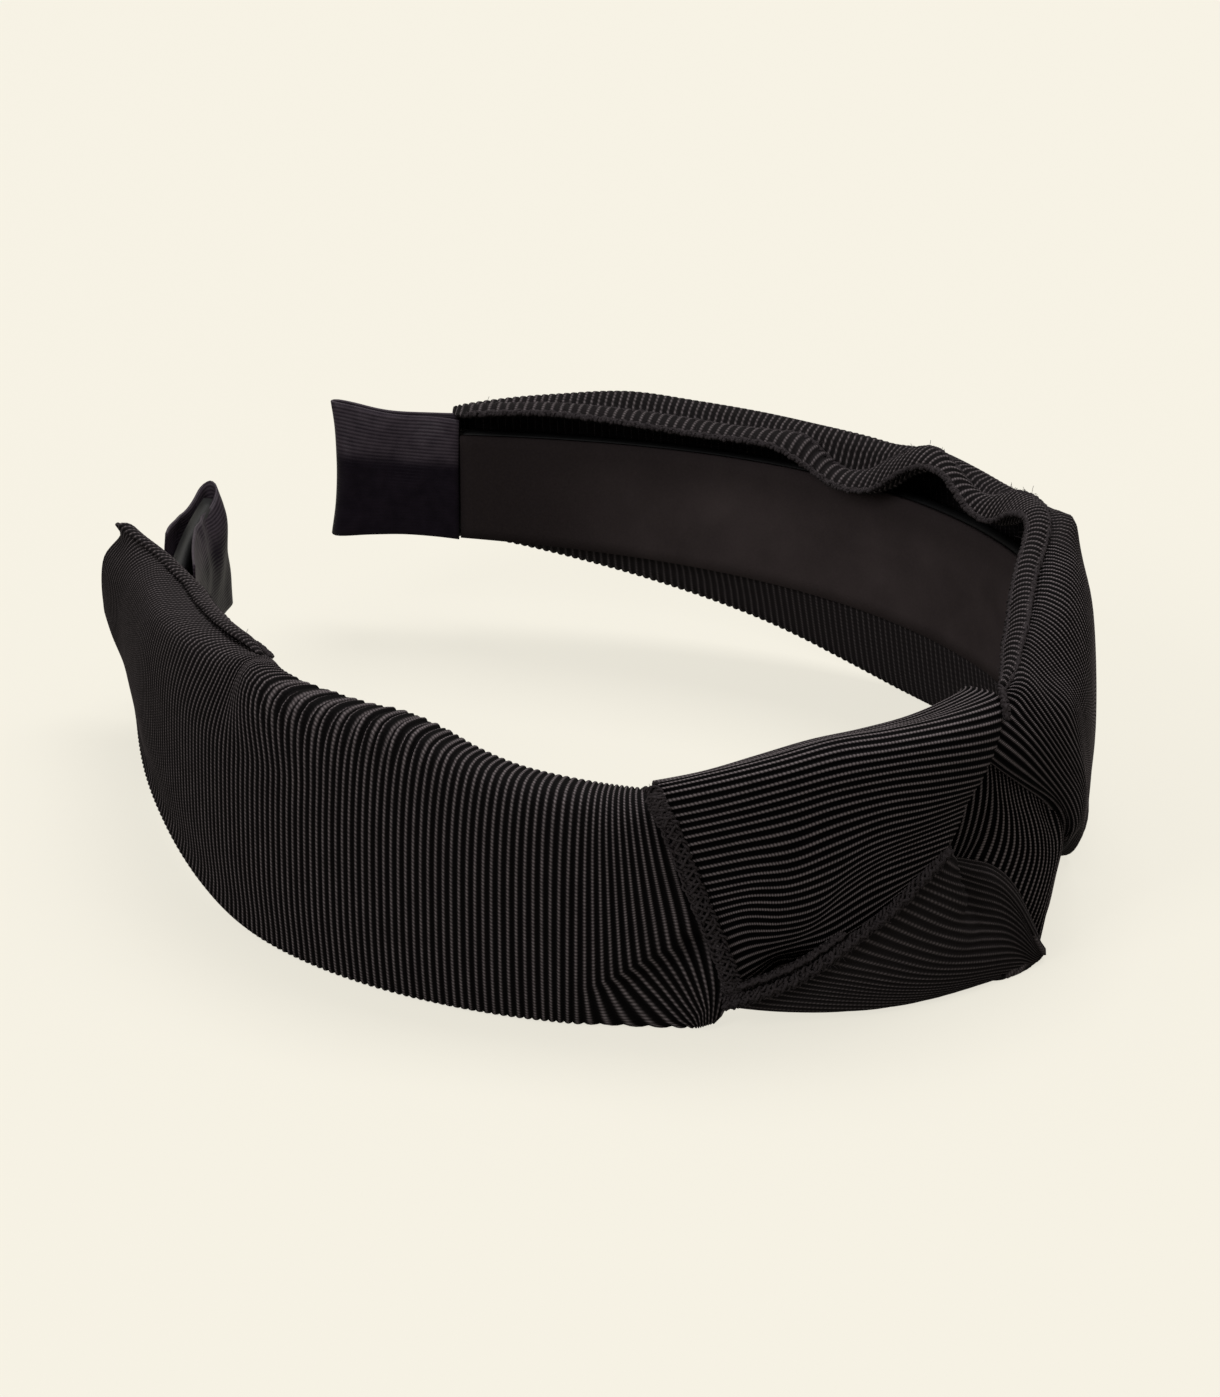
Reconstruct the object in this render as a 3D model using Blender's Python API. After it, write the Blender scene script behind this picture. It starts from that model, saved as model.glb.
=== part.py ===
"""Knotted fabric headband, lying on its lower edge, built as separate pieces.

Metres, +Z up. The hoop is a C in the XY plane: the crown and its knot point to -Y, the two tips to +Y.
The headband lies as it is put down, so its hoop leans by about two degrees. The origin is the middle of
its footprint, on the surface that it lies on.

A place on the headband is given by three lengths:
    s   along the hoop from the middle of the crown, positive on the right arm and negative on the left
    n   outwards from the middle of the hoop's thickness
    h   up from the middle of the hoop's width
"""

import math

import bmesh
import bpy
import numpy as np
from mathutils import Euler, Vector

MM = 0.001

# Hoop: one springy strip, wider at the crown
HALF_LENGTH = 199 * MM
CROWN_TURN = 3.35              # radians that half a hoop would turn at the crown's curvature
RIGHT_EASE, LEFT_EASE = 0.96, 0.71     # how much of that curvature each arm has lost at its tip
CROWN_WIDTH, TIP_WIDTH = 24 * MM, 16.9 * MM
HOOP_THICK = 2 * MM
TAPER_START, TAPER_END = 40 * MM, 179 * MM
TIP_ROUND = 7 * MM
TIP_CLEAR = 1.7 * MM           # from the end of the plastic to the fold of the tape
FLEX_AT = 45 * MM              # where each arm's flex is gathered into a hinge
FLEX_GAP = 0.3 * MM            # half the gap between the crown's strip and an arm's

# How the headband lies
LEAN = Euler((math.radians(0.81), math.radians(-1.58), 0.0)).to_matrix()
LIFT = Vector((-0.773 * MM, -71.519 * MM, 21.3 * MM))

# Fabric and trimmings
GAP = 0.4 * MM                 # between neighbouring pieces
LINING_THICK = 0.9 * MM
LINING_END = 190 * MM
TAPE_START = 177 * MM
TAPE_THICK = 0.45 * MM
DRAPE_START = 49 * MM
SEAM_RADIUS = 0.7 * MM
YARN_RADIUS = 0.4 * MM
STRIP_THICK = 0.8 * MM
CLOTH_FACE = HOOP_THICK / 2 + GAP      # inner face of what lies on the hoop's outer side

BLACK_CLOTH = (0.013, 0.011, 0.012, 1.0)
BLACK_YARN = (0.020, 0.016, 0.018, 1.0)
DARK_SUEDE = (0.032, 0.027, 0.029, 1.0)
BLACK_SATIN = (0.018, 0.014, 0.020, 1.0)
BLACK_PLASTIC = (0.010, 0.010, 0.011, 1.0)


def clear_scene():
    for obj in list(bpy.data.objects):
        bpy.data.objects.remove(obj)


def new_collection(name):
    collection = bpy.data.collections.new(name)
    bpy.context.scene.collection.children.link(collection)
    return collection


def material(name, colour, roughness, metallic=0.0):
    made = bpy.data.materials.new(name)
    made.use_nodes = True
    shader = made.node_tree.nodes["Principled BSDF"]
    shader.inputs["Base Color"].default_value = colour
    shader.inputs["Roughness"].default_value = roughness
    shader.inputs["Metallic"].default_value = metallic
    return made


# ---------------------------------------------------------------- the hoop's line

def bend_line(ease):
    """Reach, x, y and turn along one arm, whose curvature falls with the square of the reach."""
    reach = np.linspace(0.0, HALF_LENGTH, 400)
    part = reach / HALF_LENGTH
    turn = CROWN_TURN * (part - ease * part ** 3 / 3)
    step = reach[1] - reach[0]

    def summed(rate):
        return np.concatenate([[0.0], np.cumsum((rate[1:] + rate[:-1]) / 2 * step)])

    return reach, summed(np.cos(turn)), summed(np.sin(turn)), turn


RIGHT_LINE, LEFT_LINE = bend_line(RIGHT_EASE), bend_line(LEFT_EASE)


def on_plan(s, n):
    """Plan position of a place on the headband, before it is laid down."""
    side = 1.0 if s >= 0 else -1.0
    reach, xs, ys, turns = RIGHT_LINE if s >= 0 else LEFT_LINE
    x, y, turn = (float(np.interp(abs(s), reach, row)) for row in (xs, ys, turns))
    past_tip = max(abs(s) - HALF_LENGTH, 0.0)
    x, y = x + past_tip * math.cos(turn), y + past_tip * math.sin(turn)
    return side * (x + n * math.sin(turn)), y - n * math.cos(turn)


def at(s, n, h):
    """World position of a place on the headband."""
    x, y = on_plan(s, n)
    return LEAN @ Vector((x, y, h)) + LIFT


def rest_height(s, n):
    """The h at which this place of the headband meets the surface that it lies on."""
    x, y = on_plan(s, n)
    return -(LIFT.z + LEAN[2][0] * x + LEAN[2][1] * y) / LEAN[2][2]


def half_width(s):
    part = min(max((abs(s) - TAPER_START) / (TAPER_END - TAPER_START), 0.0), 1.0)
    return (CROWN_WIDTH + (TIP_WIDTH - CROWN_WIDTH) * part) / 2


def between(a, b, part):
    return a + (b - a) * part


def profile(points):
    """A smooth line through a few (s, value) points in millimetres, level before and after them."""
    places = [p[0] * MM for p in points]
    values = [p[1] * MM for p in points]

    def value(s):
        s = abs(s)
        index = int(np.searchsorted(places, s))
        if index == 0:
            return values[0]
        if index == len(places):
            return values[-1]
        part = (s - places[index - 1]) / (places[index] - places[index - 1])
        return between(values[index - 1], values[index], part * part * (3 - 2 * part))

    return value


# ---------------------------------------------------------------- makers

def add_object(name, mesh, look, collection):
    obj = bpy.data.objects.new(name, mesh)
    obj.data.materials.append(look)
    collection.objects.link(obj)
    return obj


def slab(name, shape, segments, look, collection):
    """A bent slab: shape(u, v, w) gives the world place of a box's point, each from 0 to 1."""
    bm = bmesh.new()
    bmesh.ops.create_grid(bm, x_segments=segments[0], y_segments=segments[1], size=0.5)
    face_set = bmesh.ops.extrude_face_region(bm, geom=bm.faces[:])
    raised = {item for item in face_set["geom"] if isinstance(item, bmesh.types.BMVert)}
    for vert in bm.verts:
        u, v = vert.co.x + 0.5, vert.co.y + 0.5
        vert.co = shape(u, v, 1.0 if vert in raised else 0.0)
    bm.normal_update()
    bmesh.ops.recalc_face_normals(bm, faces=bm.faces[:])
    if bm.calc_volume(signed=True) < 0:
        bmesh.ops.reverse_faces(bm, faces=bm.faces[:])
    mesh = bpy.data.meshes.new(name)
    bm.to_mesh(mesh)
    bm.free()
    obj = add_object(name, mesh, look, collection)
    obj.data.shade_smooth()
    obj.data.set_sharp_from_angle(angle=math.radians(35))
    return obj


def yarn(name, places, radius, look, collection):
    """A round thread through world places."""
    curve = bpy.data.curves.new(name, "CURVE")
    curve.dimensions = "3D"
    curve.bevel_depth = radius
    curve.bevel_resolution = 1
    curve.use_fill_caps = True
    spline = curve.splines.new("POLY")
    spline.points.add(len(places) - 1)
    for point, place in zip(spline.points, places):
        point.co = (*place, 1.0)
    return add_object(name, curve, look, collection)


# ---------------------------------------------------------------- hoop, lining and tip tapes

def make_hoop(parts):
    plastic = material("hoop_plastic", BLACK_PLASTIC, 0.45)

    def strip(name, start, end, segments):
        def shape(u, v, w):
            s = between(start, end, u)
            left_over = HALF_LENGTH - TIP_CLEAR - abs(s)
            rounding = 1.0
            if left_over < TIP_ROUND:
                rounding = max(math.sqrt(1 - (1 - left_over / TIP_ROUND) ** 2), 0.25)
            h = between(-half_width(s), half_width(s), v) * rounding
            return at(s, between(-HOOP_THICK / 2, HOOP_THICK / 2, w), h)

        slab(name, shape, (segments, 2), plastic, parts)

    crown_end, arm_start = FLEX_AT - FLEX_GAP, FLEX_AT + FLEX_GAP
    arm_end = HALF_LENGTH - TIP_CLEAR
    strip("hoop_crown", -crown_end, crown_end, 14)
    strip("hoop_right_arm", arm_start, arm_end, 24)
    strip("hoop_left_arm", -arm_start, -arm_end, 24)


def make_lining(parts):
    suede = material("lining_suede", DARK_SUEDE, 0.95)
    face = HOOP_THICK / 2 + GAP
    margin = 0.6 * MM

    def strip(name, start, end, segments):
        def shape(u, v, w):
            s = between(start, end, u)
            h = between(-1, 1, v) * (half_width(s) - margin)
            return at(s, -face - w * LINING_THICK, h)

        slab(name, shape, (segments, 2), suede, parts)

    crown_end, arm_start = FLEX_AT - FLEX_GAP, FLEX_AT + FLEX_GAP
    strip("lining_crown", -crown_end, crown_end, 14)
    strip("lining_right_arm", arm_start, LINING_END, 20)
    strip("lining_left_arm", -arm_start, -LINING_END, 20)


def make_tip_tape(parts, name, side):
    """A satin ribbon folded round the hoop's end, from its inner face to its outer one."""
    satin = material(name + "_satin", BLACK_SATIN, 0.4)
    inner = -(HOOP_THICK / 2 + GAP + LINING_THICK + GAP)
    outer = HOOP_THICK / 2 + GAP
    middle, radius = (inner + outer) / 2, (outer - inner) / 2
    leg = HALF_LENGTH - radius - TAPE_START
    total = 2 * leg + math.pi * radius
    flare = 1.8 * MM

    def shape(u, v, w):
        run = u * total
        depth = w * TAPE_THICK
        if run < leg:
            s, n, reach = TAPE_START + run, inner - depth, run / leg
        elif run > total - leg:
            s, n, reach = TAPE_START + (total - run), outer + depth, (total - run) / leg
        else:
            angle = (run - leg) / radius
            s = TAPE_START + leg + (radius + depth) * math.sin(angle)
            n, reach = middle - (radius + depth) * math.cos(angle), 1.0
        pinch = math.sin(math.pi * reach) * flare
        height = TIP_WIDTH / 2 + flare - pinch
        return at(side * s, n, between(-height, height, v) + 0.6 * MM)

    slab(name, shape, (20, 2), satin, parts)


# ---------------------------------------------------------------- draped covers

def swell(v, edge, power=0.6):
    """How far a draped section stands out, from its lower edge (v 0) to its upper one (v 1)."""
    return edge + (1 - edge) * math.sin(math.pi * v) ** power


def make_drape(parts, name, side, end, lower, upper, depth, hollow):
    """The gathered cover on an arm: flat where it lies on the hoop, full on its outer side."""
    cloth = material(name + "_cloth", BLACK_CLOTH, 0.8)

    def shape(u, v, w):
        s = side * between(DRAPE_START, end, u)
        inner = CLOTH_FACE + hollow(s)
        n = inner + w * depth(s) * swell(v, 0.5)
        bottom = max(lower(s), rest_height(s, n))
        return at(s, n, between(bottom, upper(s), v))

    slab(name, shape, (24, 6), cloth, parts)


def make_left_drape(parts):
    lower = profile([(49, -21), (104, -20), (119, -16), (134, -12), (186, -9)])
    upper = profile([(49, 15.5), (60, 17), (78, 22), (92, 20.5), (106, 20), (140, 15), (186, 8)])
    depth = profile([(49, 6.5), (110, 6), (160, 5), (186, 3.5)])
    hollow = profile([(150, 0), (176, 1.2), (186, 5)])
    make_drape(parts, "left_drape", -1, 186 * MM, lower, upper, depth, hollow)


def make_right_drape(parts):
    lower = profile([(49, -22), (100, -25), (114, -24), (125, -20.5), (142, -16.5), (180, -10.5)])
    upper = profile([(49, 22), (60, 22.4), (70, 19), (85, 16), (96, 16.5), (105, 15), (115, 13), (144, 15),
                     (161, 14), (180, 10)])
    depth = profile([(49, 3.4), (60, 3.8), (70, 4.8), (82, 5.6), (160, 5), (180, 4)])
    hollow = profile([(150, 0), (172, 1.2), (180, 2)])
    make_drape(parts, "right_drape", 1, 180 * MM, lower, upper, depth, hollow)


def make_left_hem(parts):
    """The turned hem on the inner side of the left cover's upper edge."""
    cloth = material("left_hem_cloth", BLACK_CLOTH, 0.8)
    top = profile([(106, 19), (140, 14.4), (166, 10.9)])

    def shape(u, v, w):
        s = -between(106, 166, u) * MM
        return at(s, between(-0.9, 0.9, w) * MM * 0.8, top(s) + between(-0.6, 1.0, v) * MM)

    slab("left_hem", shape, (14, 1), cloth, parts)


RIGHT_STRIP_HEIGHT = profile([(49, 23.4), (60, 23.8), (70, 20), (80, 16.6), (91, 18.4), (102, 16.5), (115, 13),
                              (128, 15), (178, 13.6)])


def make_right_strip(parts):
    """The seam allowance that folds in over the right arm's upper edge."""
    cloth = material("right_seam_allowance_cloth", BLACK_CLOTH, 0.8)
    inner = profile([(49, -7.5), (90, -5.5), (178, -4.5)])

    def shape(u, v, w):
        s = between(49.5, 178, u) * MM
        n = between(inner(s), inner(s) + 3 * MM, v)
        return at(s, n, RIGHT_STRIP_HEIGHT(s) + w * STRIP_THICK)

    slab("right_seam_allowance", shape, (28, 1), cloth, parts)

    look = material("right_overlock_yarn_look", BLACK_YARN, 0.9)
    places = []
    for step in range(29):
        s = between(49.5, 178, step / 28) * MM
        places.append(at(s, inner(s) - YARN_RADIUS - GAP, RIGHT_STRIP_HEIGHT(s) + STRIP_THICK / 2))
    yarn("right_overlock_yarn", places, YARN_RADIUS, look, parts)


def make_left_hem_yarn(parts):
    look = material("left_overlock_yarn_look", BLACK_YARN, 0.9)
    top = profile([(106, 19), (140, 14.4), (166, 10.9)])
    places = []
    for step in range(15):
        s = -between(106, 166, step / 14) * MM
        places.append(at(s, -0.9 * MM - YARN_RADIUS - GAP, top(s)))
    yarn("left_overlock_yarn", places, YARN_RADIUS, look, parts)


# ---------------------------------------------------------------- knot

KNOT_LEFT, KNOT_RIGHT = -45.0 * MM, 43.5 * MM


def line(points):
    """A plain line through (place, value) points in millimetres; places may be negative."""
    places = [p[0] * MM for p in points]
    values = [p[1] * MM for p in points]
    return lambda place: float(np.interp(place, places, values))


DIAGONAL = line([(-37, -15), (-8, 2.6)])               # h of the sewn diagonal, over s
FOLD = line([(2.6, -8.2), (9.4, -6), (15, -2.4), (24, 0.5)])      # s of the front wrap's fold, over h
CROSSING = line([(-20, 23), (-12, 20), (-2, 16.5), (8, 7), (15, -1.2), (24, 1.7)])   # s, over h


def make_front_wrap(parts):
    cloth = material("front_wrap_cloth", BLACK_CLOTH, 0.8)
    crest = line([(-45, 16.5), (-30, 20), (-20, 22), (0.5, 23.5)])

    def shape(u, v, w):
        low_left, low_right = Vector((-36.5, -13.2)) * MM, Vector((-8.6, 4.0)) * MM
        high_left, high_right = Vector((KNOT_LEFT, crest(KNOT_LEFT))), Vector((0.3 * MM, crest(0.3 * MM)))
        low, high = low_left.lerp(low_right, u), high_left.lerp(high_right, u)
        flat = low.lerp(high, v)
        s = flat.x
        h = flat.y if v < 1 else crest(s)
        depth = between(6.5, 9.0, math.sin(math.pi * min(u * 0.5 + 0.2, 1))) * MM
        return at(s, CLOTH_FACE + w * depth * swell(v, 0.5), h)

    slab("knot_front_wrap", shape, (12, 6), cloth, parts)


def make_lower_strand(parts):
    cloth = material("lower_strand_cloth", BLACK_CLOTH, 0.8)
    top = line([(-37, -17.0), (-8.2, 0.4), (8.4, -17.6)])

    def shape(u, v, w):
        s = between(-37, 8.4, u) * MM
        depth = between(7.0, 9.0, math.sin(math.pi * u)) * MM
        n = CLOTH_FACE + w * depth * swell(v, 0.6)
        return at(s, n, between(rest_height(s, n), top(s), v))

    slab("knot_lower_strand", shape, (16, 4), cloth, parts)


def make_inner_strand(parts):
    cloth = material("inner_strand_cloth", BLACK_CLOTH, 0.8)
    left = line([(-19, 11.2), (0.4, -6.4), (3.0, -6.6), (9.4, -5.0), (14, -2.4)])

    def shape(u, v, w):
        h = between(-18.5, 13.5, v) * MM
        s = between(left(h), CROSSING(h) - 0.6 * MM, u)
        return at(s, CLOTH_FACE + w * 5.5 * MM * swell(u, 0.7), h)

    slab("knot_inner_strand", shape, (6, 10), cloth, parts)


RIGHT_CREST = line([(1.5, 23), (20, 22), (43.5, 22)])          # h of the right wrap's upper edge, over s
RIGHT_DEPTH = line([(1.5, 8.5), (14, 8.3), (20, 6.8), (30, 4.6), (43.5, 3.4)])


def make_right_wrap(parts):
    cloth = material("right_wrap_cloth", BLACK_CLOTH, 0.8)

    def shape(u, v, w):
        s_top, s_end = 1.5 * MM, KNOT_RIGHT
        s = between(s_top, s_end, u)
        h = between(-20.5 * MM, RIGHT_CREST(s), v)
        s = between(CROSSING(min(h, 23 * MM)) + 0.3 * MM, s_end, u)
        n = CLOTH_FACE + w * RIGHT_DEPTH(s) * swell(v, 0.5)
        return at(s, n, max(h, rest_height(s, n)))

    slab("knot_right_wrap", shape, (10, 10), cloth, parts)


def make_knot_seams(parts):
    look = material("overlock_yarn_look", BLACK_YARN, 0.9)

    def run(name, start, end, count, radius):
        (s0, h0, n0), (s1, h1, n1) = start, end
        places = []
        for step in range(count):
            part = step / (count - 1)
            places.append(at(between(s0, s1, part) * MM, between(n0, n1, part) * MM, between(h0, h1, part) * MM))
        yarn(name, places, radius, look, parts)

    run("left_seam_yarn", (-46.4, 15.5, 6.0), (-38.2, -13.5, 6.0), 9, SEAM_RADIUS)
    run("diagonal_seam_yarn", (-35.6, -14.3, 8.0), (-9.4, 1.6, 8.0), 9, SEAM_RADIUS)
    places = []
    for step in range(13):
        s = between(6, 42, step / 12) * MM
        places.append(at(s, CLOTH_FACE + 1.2 * MM, RIGHT_CREST(s) + SEAM_RADIUS + GAP))
    yarn("right_seam_yarn", places, SEAM_RADIUS, look, parts)


def main():
    clear_scene()
    parts = new_collection("knotted_headband")
    make_hoop(parts)
    make_lining(parts)
    make_tip_tape(parts, "right_tip_tape", 1)
    make_tip_tape(parts, "left_tip_tape", -1)
    make_left_drape(parts)
    make_right_drape(parts)
    make_left_hem(parts)
    make_left_hem_yarn(parts)
    make_right_strip(parts)
    make_front_wrap(parts)
    make_lower_strand(parts)
    make_inner_strand(parts)
    make_right_wrap(parts)
    make_knot_seams(parts)


main()
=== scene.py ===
"""Looks of the knotted headband: ribbed cloth, overlock stitching, suede lining and satin tips.

Places on the headband are given in millimetres as (s, n, h):
    s   along the hoop from the middle of the crown, positive on the right arm and negative on the left
    n   outwards from the middle of the hoop's thickness
    h   up from the middle of the hoop's width
A cloth is a net of such places. Its rows follow the cloth one way and its columns the other way.
"""

import math

import bpy
import numpy as np
from mathutils import Euler, Matrix, Vector


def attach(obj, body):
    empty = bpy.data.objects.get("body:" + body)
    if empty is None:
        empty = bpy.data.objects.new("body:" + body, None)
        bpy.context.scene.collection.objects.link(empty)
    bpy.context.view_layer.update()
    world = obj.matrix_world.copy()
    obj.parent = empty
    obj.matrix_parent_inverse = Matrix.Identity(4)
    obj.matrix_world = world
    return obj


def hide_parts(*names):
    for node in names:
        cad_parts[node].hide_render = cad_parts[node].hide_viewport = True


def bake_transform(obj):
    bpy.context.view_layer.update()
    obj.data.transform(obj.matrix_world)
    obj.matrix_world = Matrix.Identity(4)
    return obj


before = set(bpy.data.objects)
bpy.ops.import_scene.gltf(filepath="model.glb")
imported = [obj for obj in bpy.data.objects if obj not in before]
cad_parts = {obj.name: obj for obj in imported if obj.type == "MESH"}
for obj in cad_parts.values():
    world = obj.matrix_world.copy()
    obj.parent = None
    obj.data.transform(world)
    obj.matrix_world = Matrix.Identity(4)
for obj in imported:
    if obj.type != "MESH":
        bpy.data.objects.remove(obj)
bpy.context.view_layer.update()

MM = 0.001

# ---- the hoop's line, as in the CAD

HALF_LENGTH = 199.0
CROWN_TURN = 3.35
EASE = {1: 0.96, -1: 0.71}
CROWN_WIDTH, TIP_WIDTH = 24.0, 16.9
TAPER_START, TAPER_END = 40.0, 179.0
LINE_SAMPLES = 800

# How the hoop leans on the floor, and where the middle of its crown stands.
LEAN = np.array(Euler((math.radians(0.81), math.radians(-1.58), 0.0)).to_matrix())
LIFT = np.array([-0.773, -71.519, 21.3])


def bend_line(ease):
    """Reach, x, y and turn along one arm, whose curvature falls with the square of the reach."""
    reach = np.linspace(0.0, HALF_LENGTH, LINE_SAMPLES)
    part = reach / HALF_LENGTH
    turn = CROWN_TURN * (part - ease * part ** 3 / 3)
    step = reach[1] - reach[0]

    def summed(rate):
        return np.concatenate([[0.0], np.cumsum((rate[1:] + rate[:-1]) / 2 * step)])

    return reach, summed(np.cos(turn)), summed(np.sin(turn)), turn


LINES = {side: bend_line(ease) for side, ease in EASE.items()}


def at(places):
    """World places, in metres, of an array of (s, n, h) in millimetres."""
    places = np.asarray(places, float)
    s, n, h = places[..., 0], places[..., 1], places[..., 2]
    flat = np.zeros(places.shape)
    for side in (1, -1):
        reach, xs, ys, turns = LINES[side]
        x, y, turn = (np.interp(np.abs(s), reach, row) for row in (xs, ys, turns))
        past_tip = np.maximum(np.abs(s) - HALF_LENGTH, 0.0)
        x, y = x + past_tip * np.cos(turn), y + past_tip * np.sin(turn)
        mine = (s >= 0) if side == 1 else (s < 0)
        flat[..., 0] = np.where(mine, side * (x + n * np.sin(turn)), flat[..., 0])
        flat[..., 1] = np.where(mine, y - n * np.cos(turn), flat[..., 1])
    flat[..., 2] = h
    return (flat @ LEAN.T + LIFT) * MM


def half_width(s):
    """Half the hoop's width, which tapers along the arms."""
    part = np.clip((np.abs(s) - TAPER_START) / (TAPER_END - TAPER_START), 0, 1)
    return (CROWN_WIDTH + (TIP_WIDTH - CROWN_WIDTH) * part) / 2


# ---- smooth nets

FLOOR_GAP = 0.3 * MM
FLOOR_SOFTNESS = 0.8 * MM
WHOLE = (0.0, 1.0)
FINE_STEPS, COARSE_STEPS = 241, 9


def settle(places):
    """Lifts cloth that would sink into the floor to just above it."""
    over = places[..., 2] - FLOOR_GAP
    settled = places.copy()
    settled[..., 2] = FLOOR_GAP + (over + np.sqrt(over ** 2 + FLOOR_SOFTNESS ** 2)) / 2
    return settled


def spline(points, steps):
    """A smooth curve through points (first axis), read at steps from 0 to 1."""
    points = np.asarray(points, float)
    last = len(points) - 1
    padded = np.concatenate([[2 * points[0] - points[1]], points, [2 * points[-1] - points[-2]]])
    place = np.clip(np.asarray(steps, float), 0, 1) * last
    index = np.minimum(place.astype(int), last - 1)
    t = (place - index)[(...,) + (None,) * (points.ndim - 1)]
    a, b, c, d = (padded[index + k] for k in range(4))
    return 0.5 * (2 * b + (c - a) * t + (2 * a - 5 * b + 4 * c - d) * t ** 2
                  + (3 * b - a - 3 * c + d) * t ** 3)


def profile(points):
    """A smooth function through (place, value) points, whose places rise."""
    places = np.array([p[0] for p in points], float)
    values = np.array([p[1:] for p in points], float)

    def read(place):
        index = np.interp(place, places, np.arange(len(places)))
        found = spline(values, index / (len(places) - 1))
        return found[..., 0] if found.shape[-1] == 1 else found

    return read


def smooth_step(low, high, value):
    """A smooth rise from 0 at low to 1 at high."""
    t = np.clip((value - low) / (high - low), 0, 1)
    return t * t * (3 - 2 * t)


def net_places(net, u, v, shape=None):
    """World places of a net: u runs along its rows, v from row to row.
    shape may move the (s, n, h) places."""
    rows = spline(np.asarray(net, float), v)
    places = spline(np.swapaxes(rows, 0, 1), u)
    if shape is not None:
        places = shape(places)
    return settle(at(places))


def even_steps(net, axis, count, span=WHOLE, measured=WHOLE):
    """Steps along u (axis 0) or v (axis 1) that are evenly spaced on the cloth, and the cloth's size.
    measured is the part of the other axis over which the spacing is averaged."""
    fine = np.linspace(*span, FINE_STEPS)
    coarse = np.linspace(*measured, COARSE_STEPS)
    if axis == 0:
        places = net_places(net, fine, coarse)
    else:
        places = np.swapaxes(net_places(net, coarse, fine), 0, 1)
    run = np.linalg.norm(np.diff(places, axis=0), axis=-1).mean(axis=1)
    length = np.concatenate([[0], np.cumsum(run)])
    return np.interp(np.linspace(0, length[-1], count), length, fine), length[-1] / MM


def unit(vectors):
    return vectors / np.maximum(np.linalg.norm(vectors, axis=-1, keepdims=True), 1e-12)


def normals_of(places):
    return unit(np.cross(np.gradient(places, axis=0), np.gradient(places, axis=1)))


# ---- mesh makers

RIB_PITCH = 1.13
RIB_HEIGHT = 0.30
SAMPLES_PER_RIB = 4
ALONG_STEP = 1.3
CLOTH_THICK = 0.55
TEXTURE_MAP = "weave"

# Holds the painted rib shade: towards 1 the painted crest highlights dim into an even dark tone, as where
# the cloth lies in shade, and below 0 the painted highlights stand out more.
RIB_SHADE_MAP = "rib_shade"


def mesh_from_grid(name, places, texture):
    """An open grid mesh with a UV map, from places (U, V, 3) and texture (U, V, 2)."""
    rows, columns = places.shape[:2]
    index = np.arange(rows * columns).reshape(rows, columns)
    corners = [index[:-1, :-1], index[1:, :-1], index[1:, 1:], index[:-1, 1:]]
    faces = np.stack(corners, axis=-1).reshape(-1, 4)
    mesh = bpy.data.meshes.new(name)
    mesh.vertices.add(rows * columns)
    mesh.vertices.foreach_set("co", places.reshape(-1).astype(np.float32))
    mesh.loops.add(faces.size)
    mesh.loops.foreach_set("vertex_index", faces.reshape(-1).astype(np.int32))
    mesh.polygons.add(len(faces))
    mesh.polygons.foreach_set("loop_start", np.arange(0, faces.size, 4, dtype=np.int32))
    mesh.update(calc_edges=True)
    layer = mesh.uv_layers.new(name=TEXTURE_MAP)
    layer.data.foreach_set("uv", texture.reshape(-1, 2)[faces.reshape(-1)].reshape(-1).astype(np.float32))
    mesh.validate()
    mesh.shade_smooth()
    return mesh


def add_piece(name, mesh, look):
    """A piece with one material, in its slot."""
    obj = bpy.data.objects.new(name, mesh)
    bpy.context.scene.collection.objects.link(obj)
    obj.data.materials.append(look)
    return obj


def thicken(obj, thick):
    """Gives a sheet its second face and its rim."""
    solid = obj.modifiers.new("thickness", "SOLIDIFY")
    solid.thickness = thick * MM
    solid.offset = -1.0
    solid.use_even_offset = False
    graph = bpy.context.evaluated_depsgraph_get()
    mesh = bpy.data.meshes.new_from_object(obj.evaluated_get(graph))
    obj.modifiers.clear()
    obj.data = mesh
    return obj


HOOP_MIDDLE = (0.0, -75.0, 0.0)


def faces_right(places, normal, facing):
    """Whether most of the grid's normals look the way it faces: up, out of the hoop or into it."""
    if facing == "up":
        return normal[..., 2].mean() > 0
    middle = at(HOOP_MIDDLE)
    away = (places - middle) * np.array([1, 1, 0])
    sign = 1 if facing == "out" else -1
    return sign * (normal * away).sum(axis=-1).mean() > 0


def rib_relief(phase):
    """Height of a rib over its groove, from 0 to 1: round crests with narrow grooves."""
    return np.abs(np.sin(np.pi * phase)) ** 0.75


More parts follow.
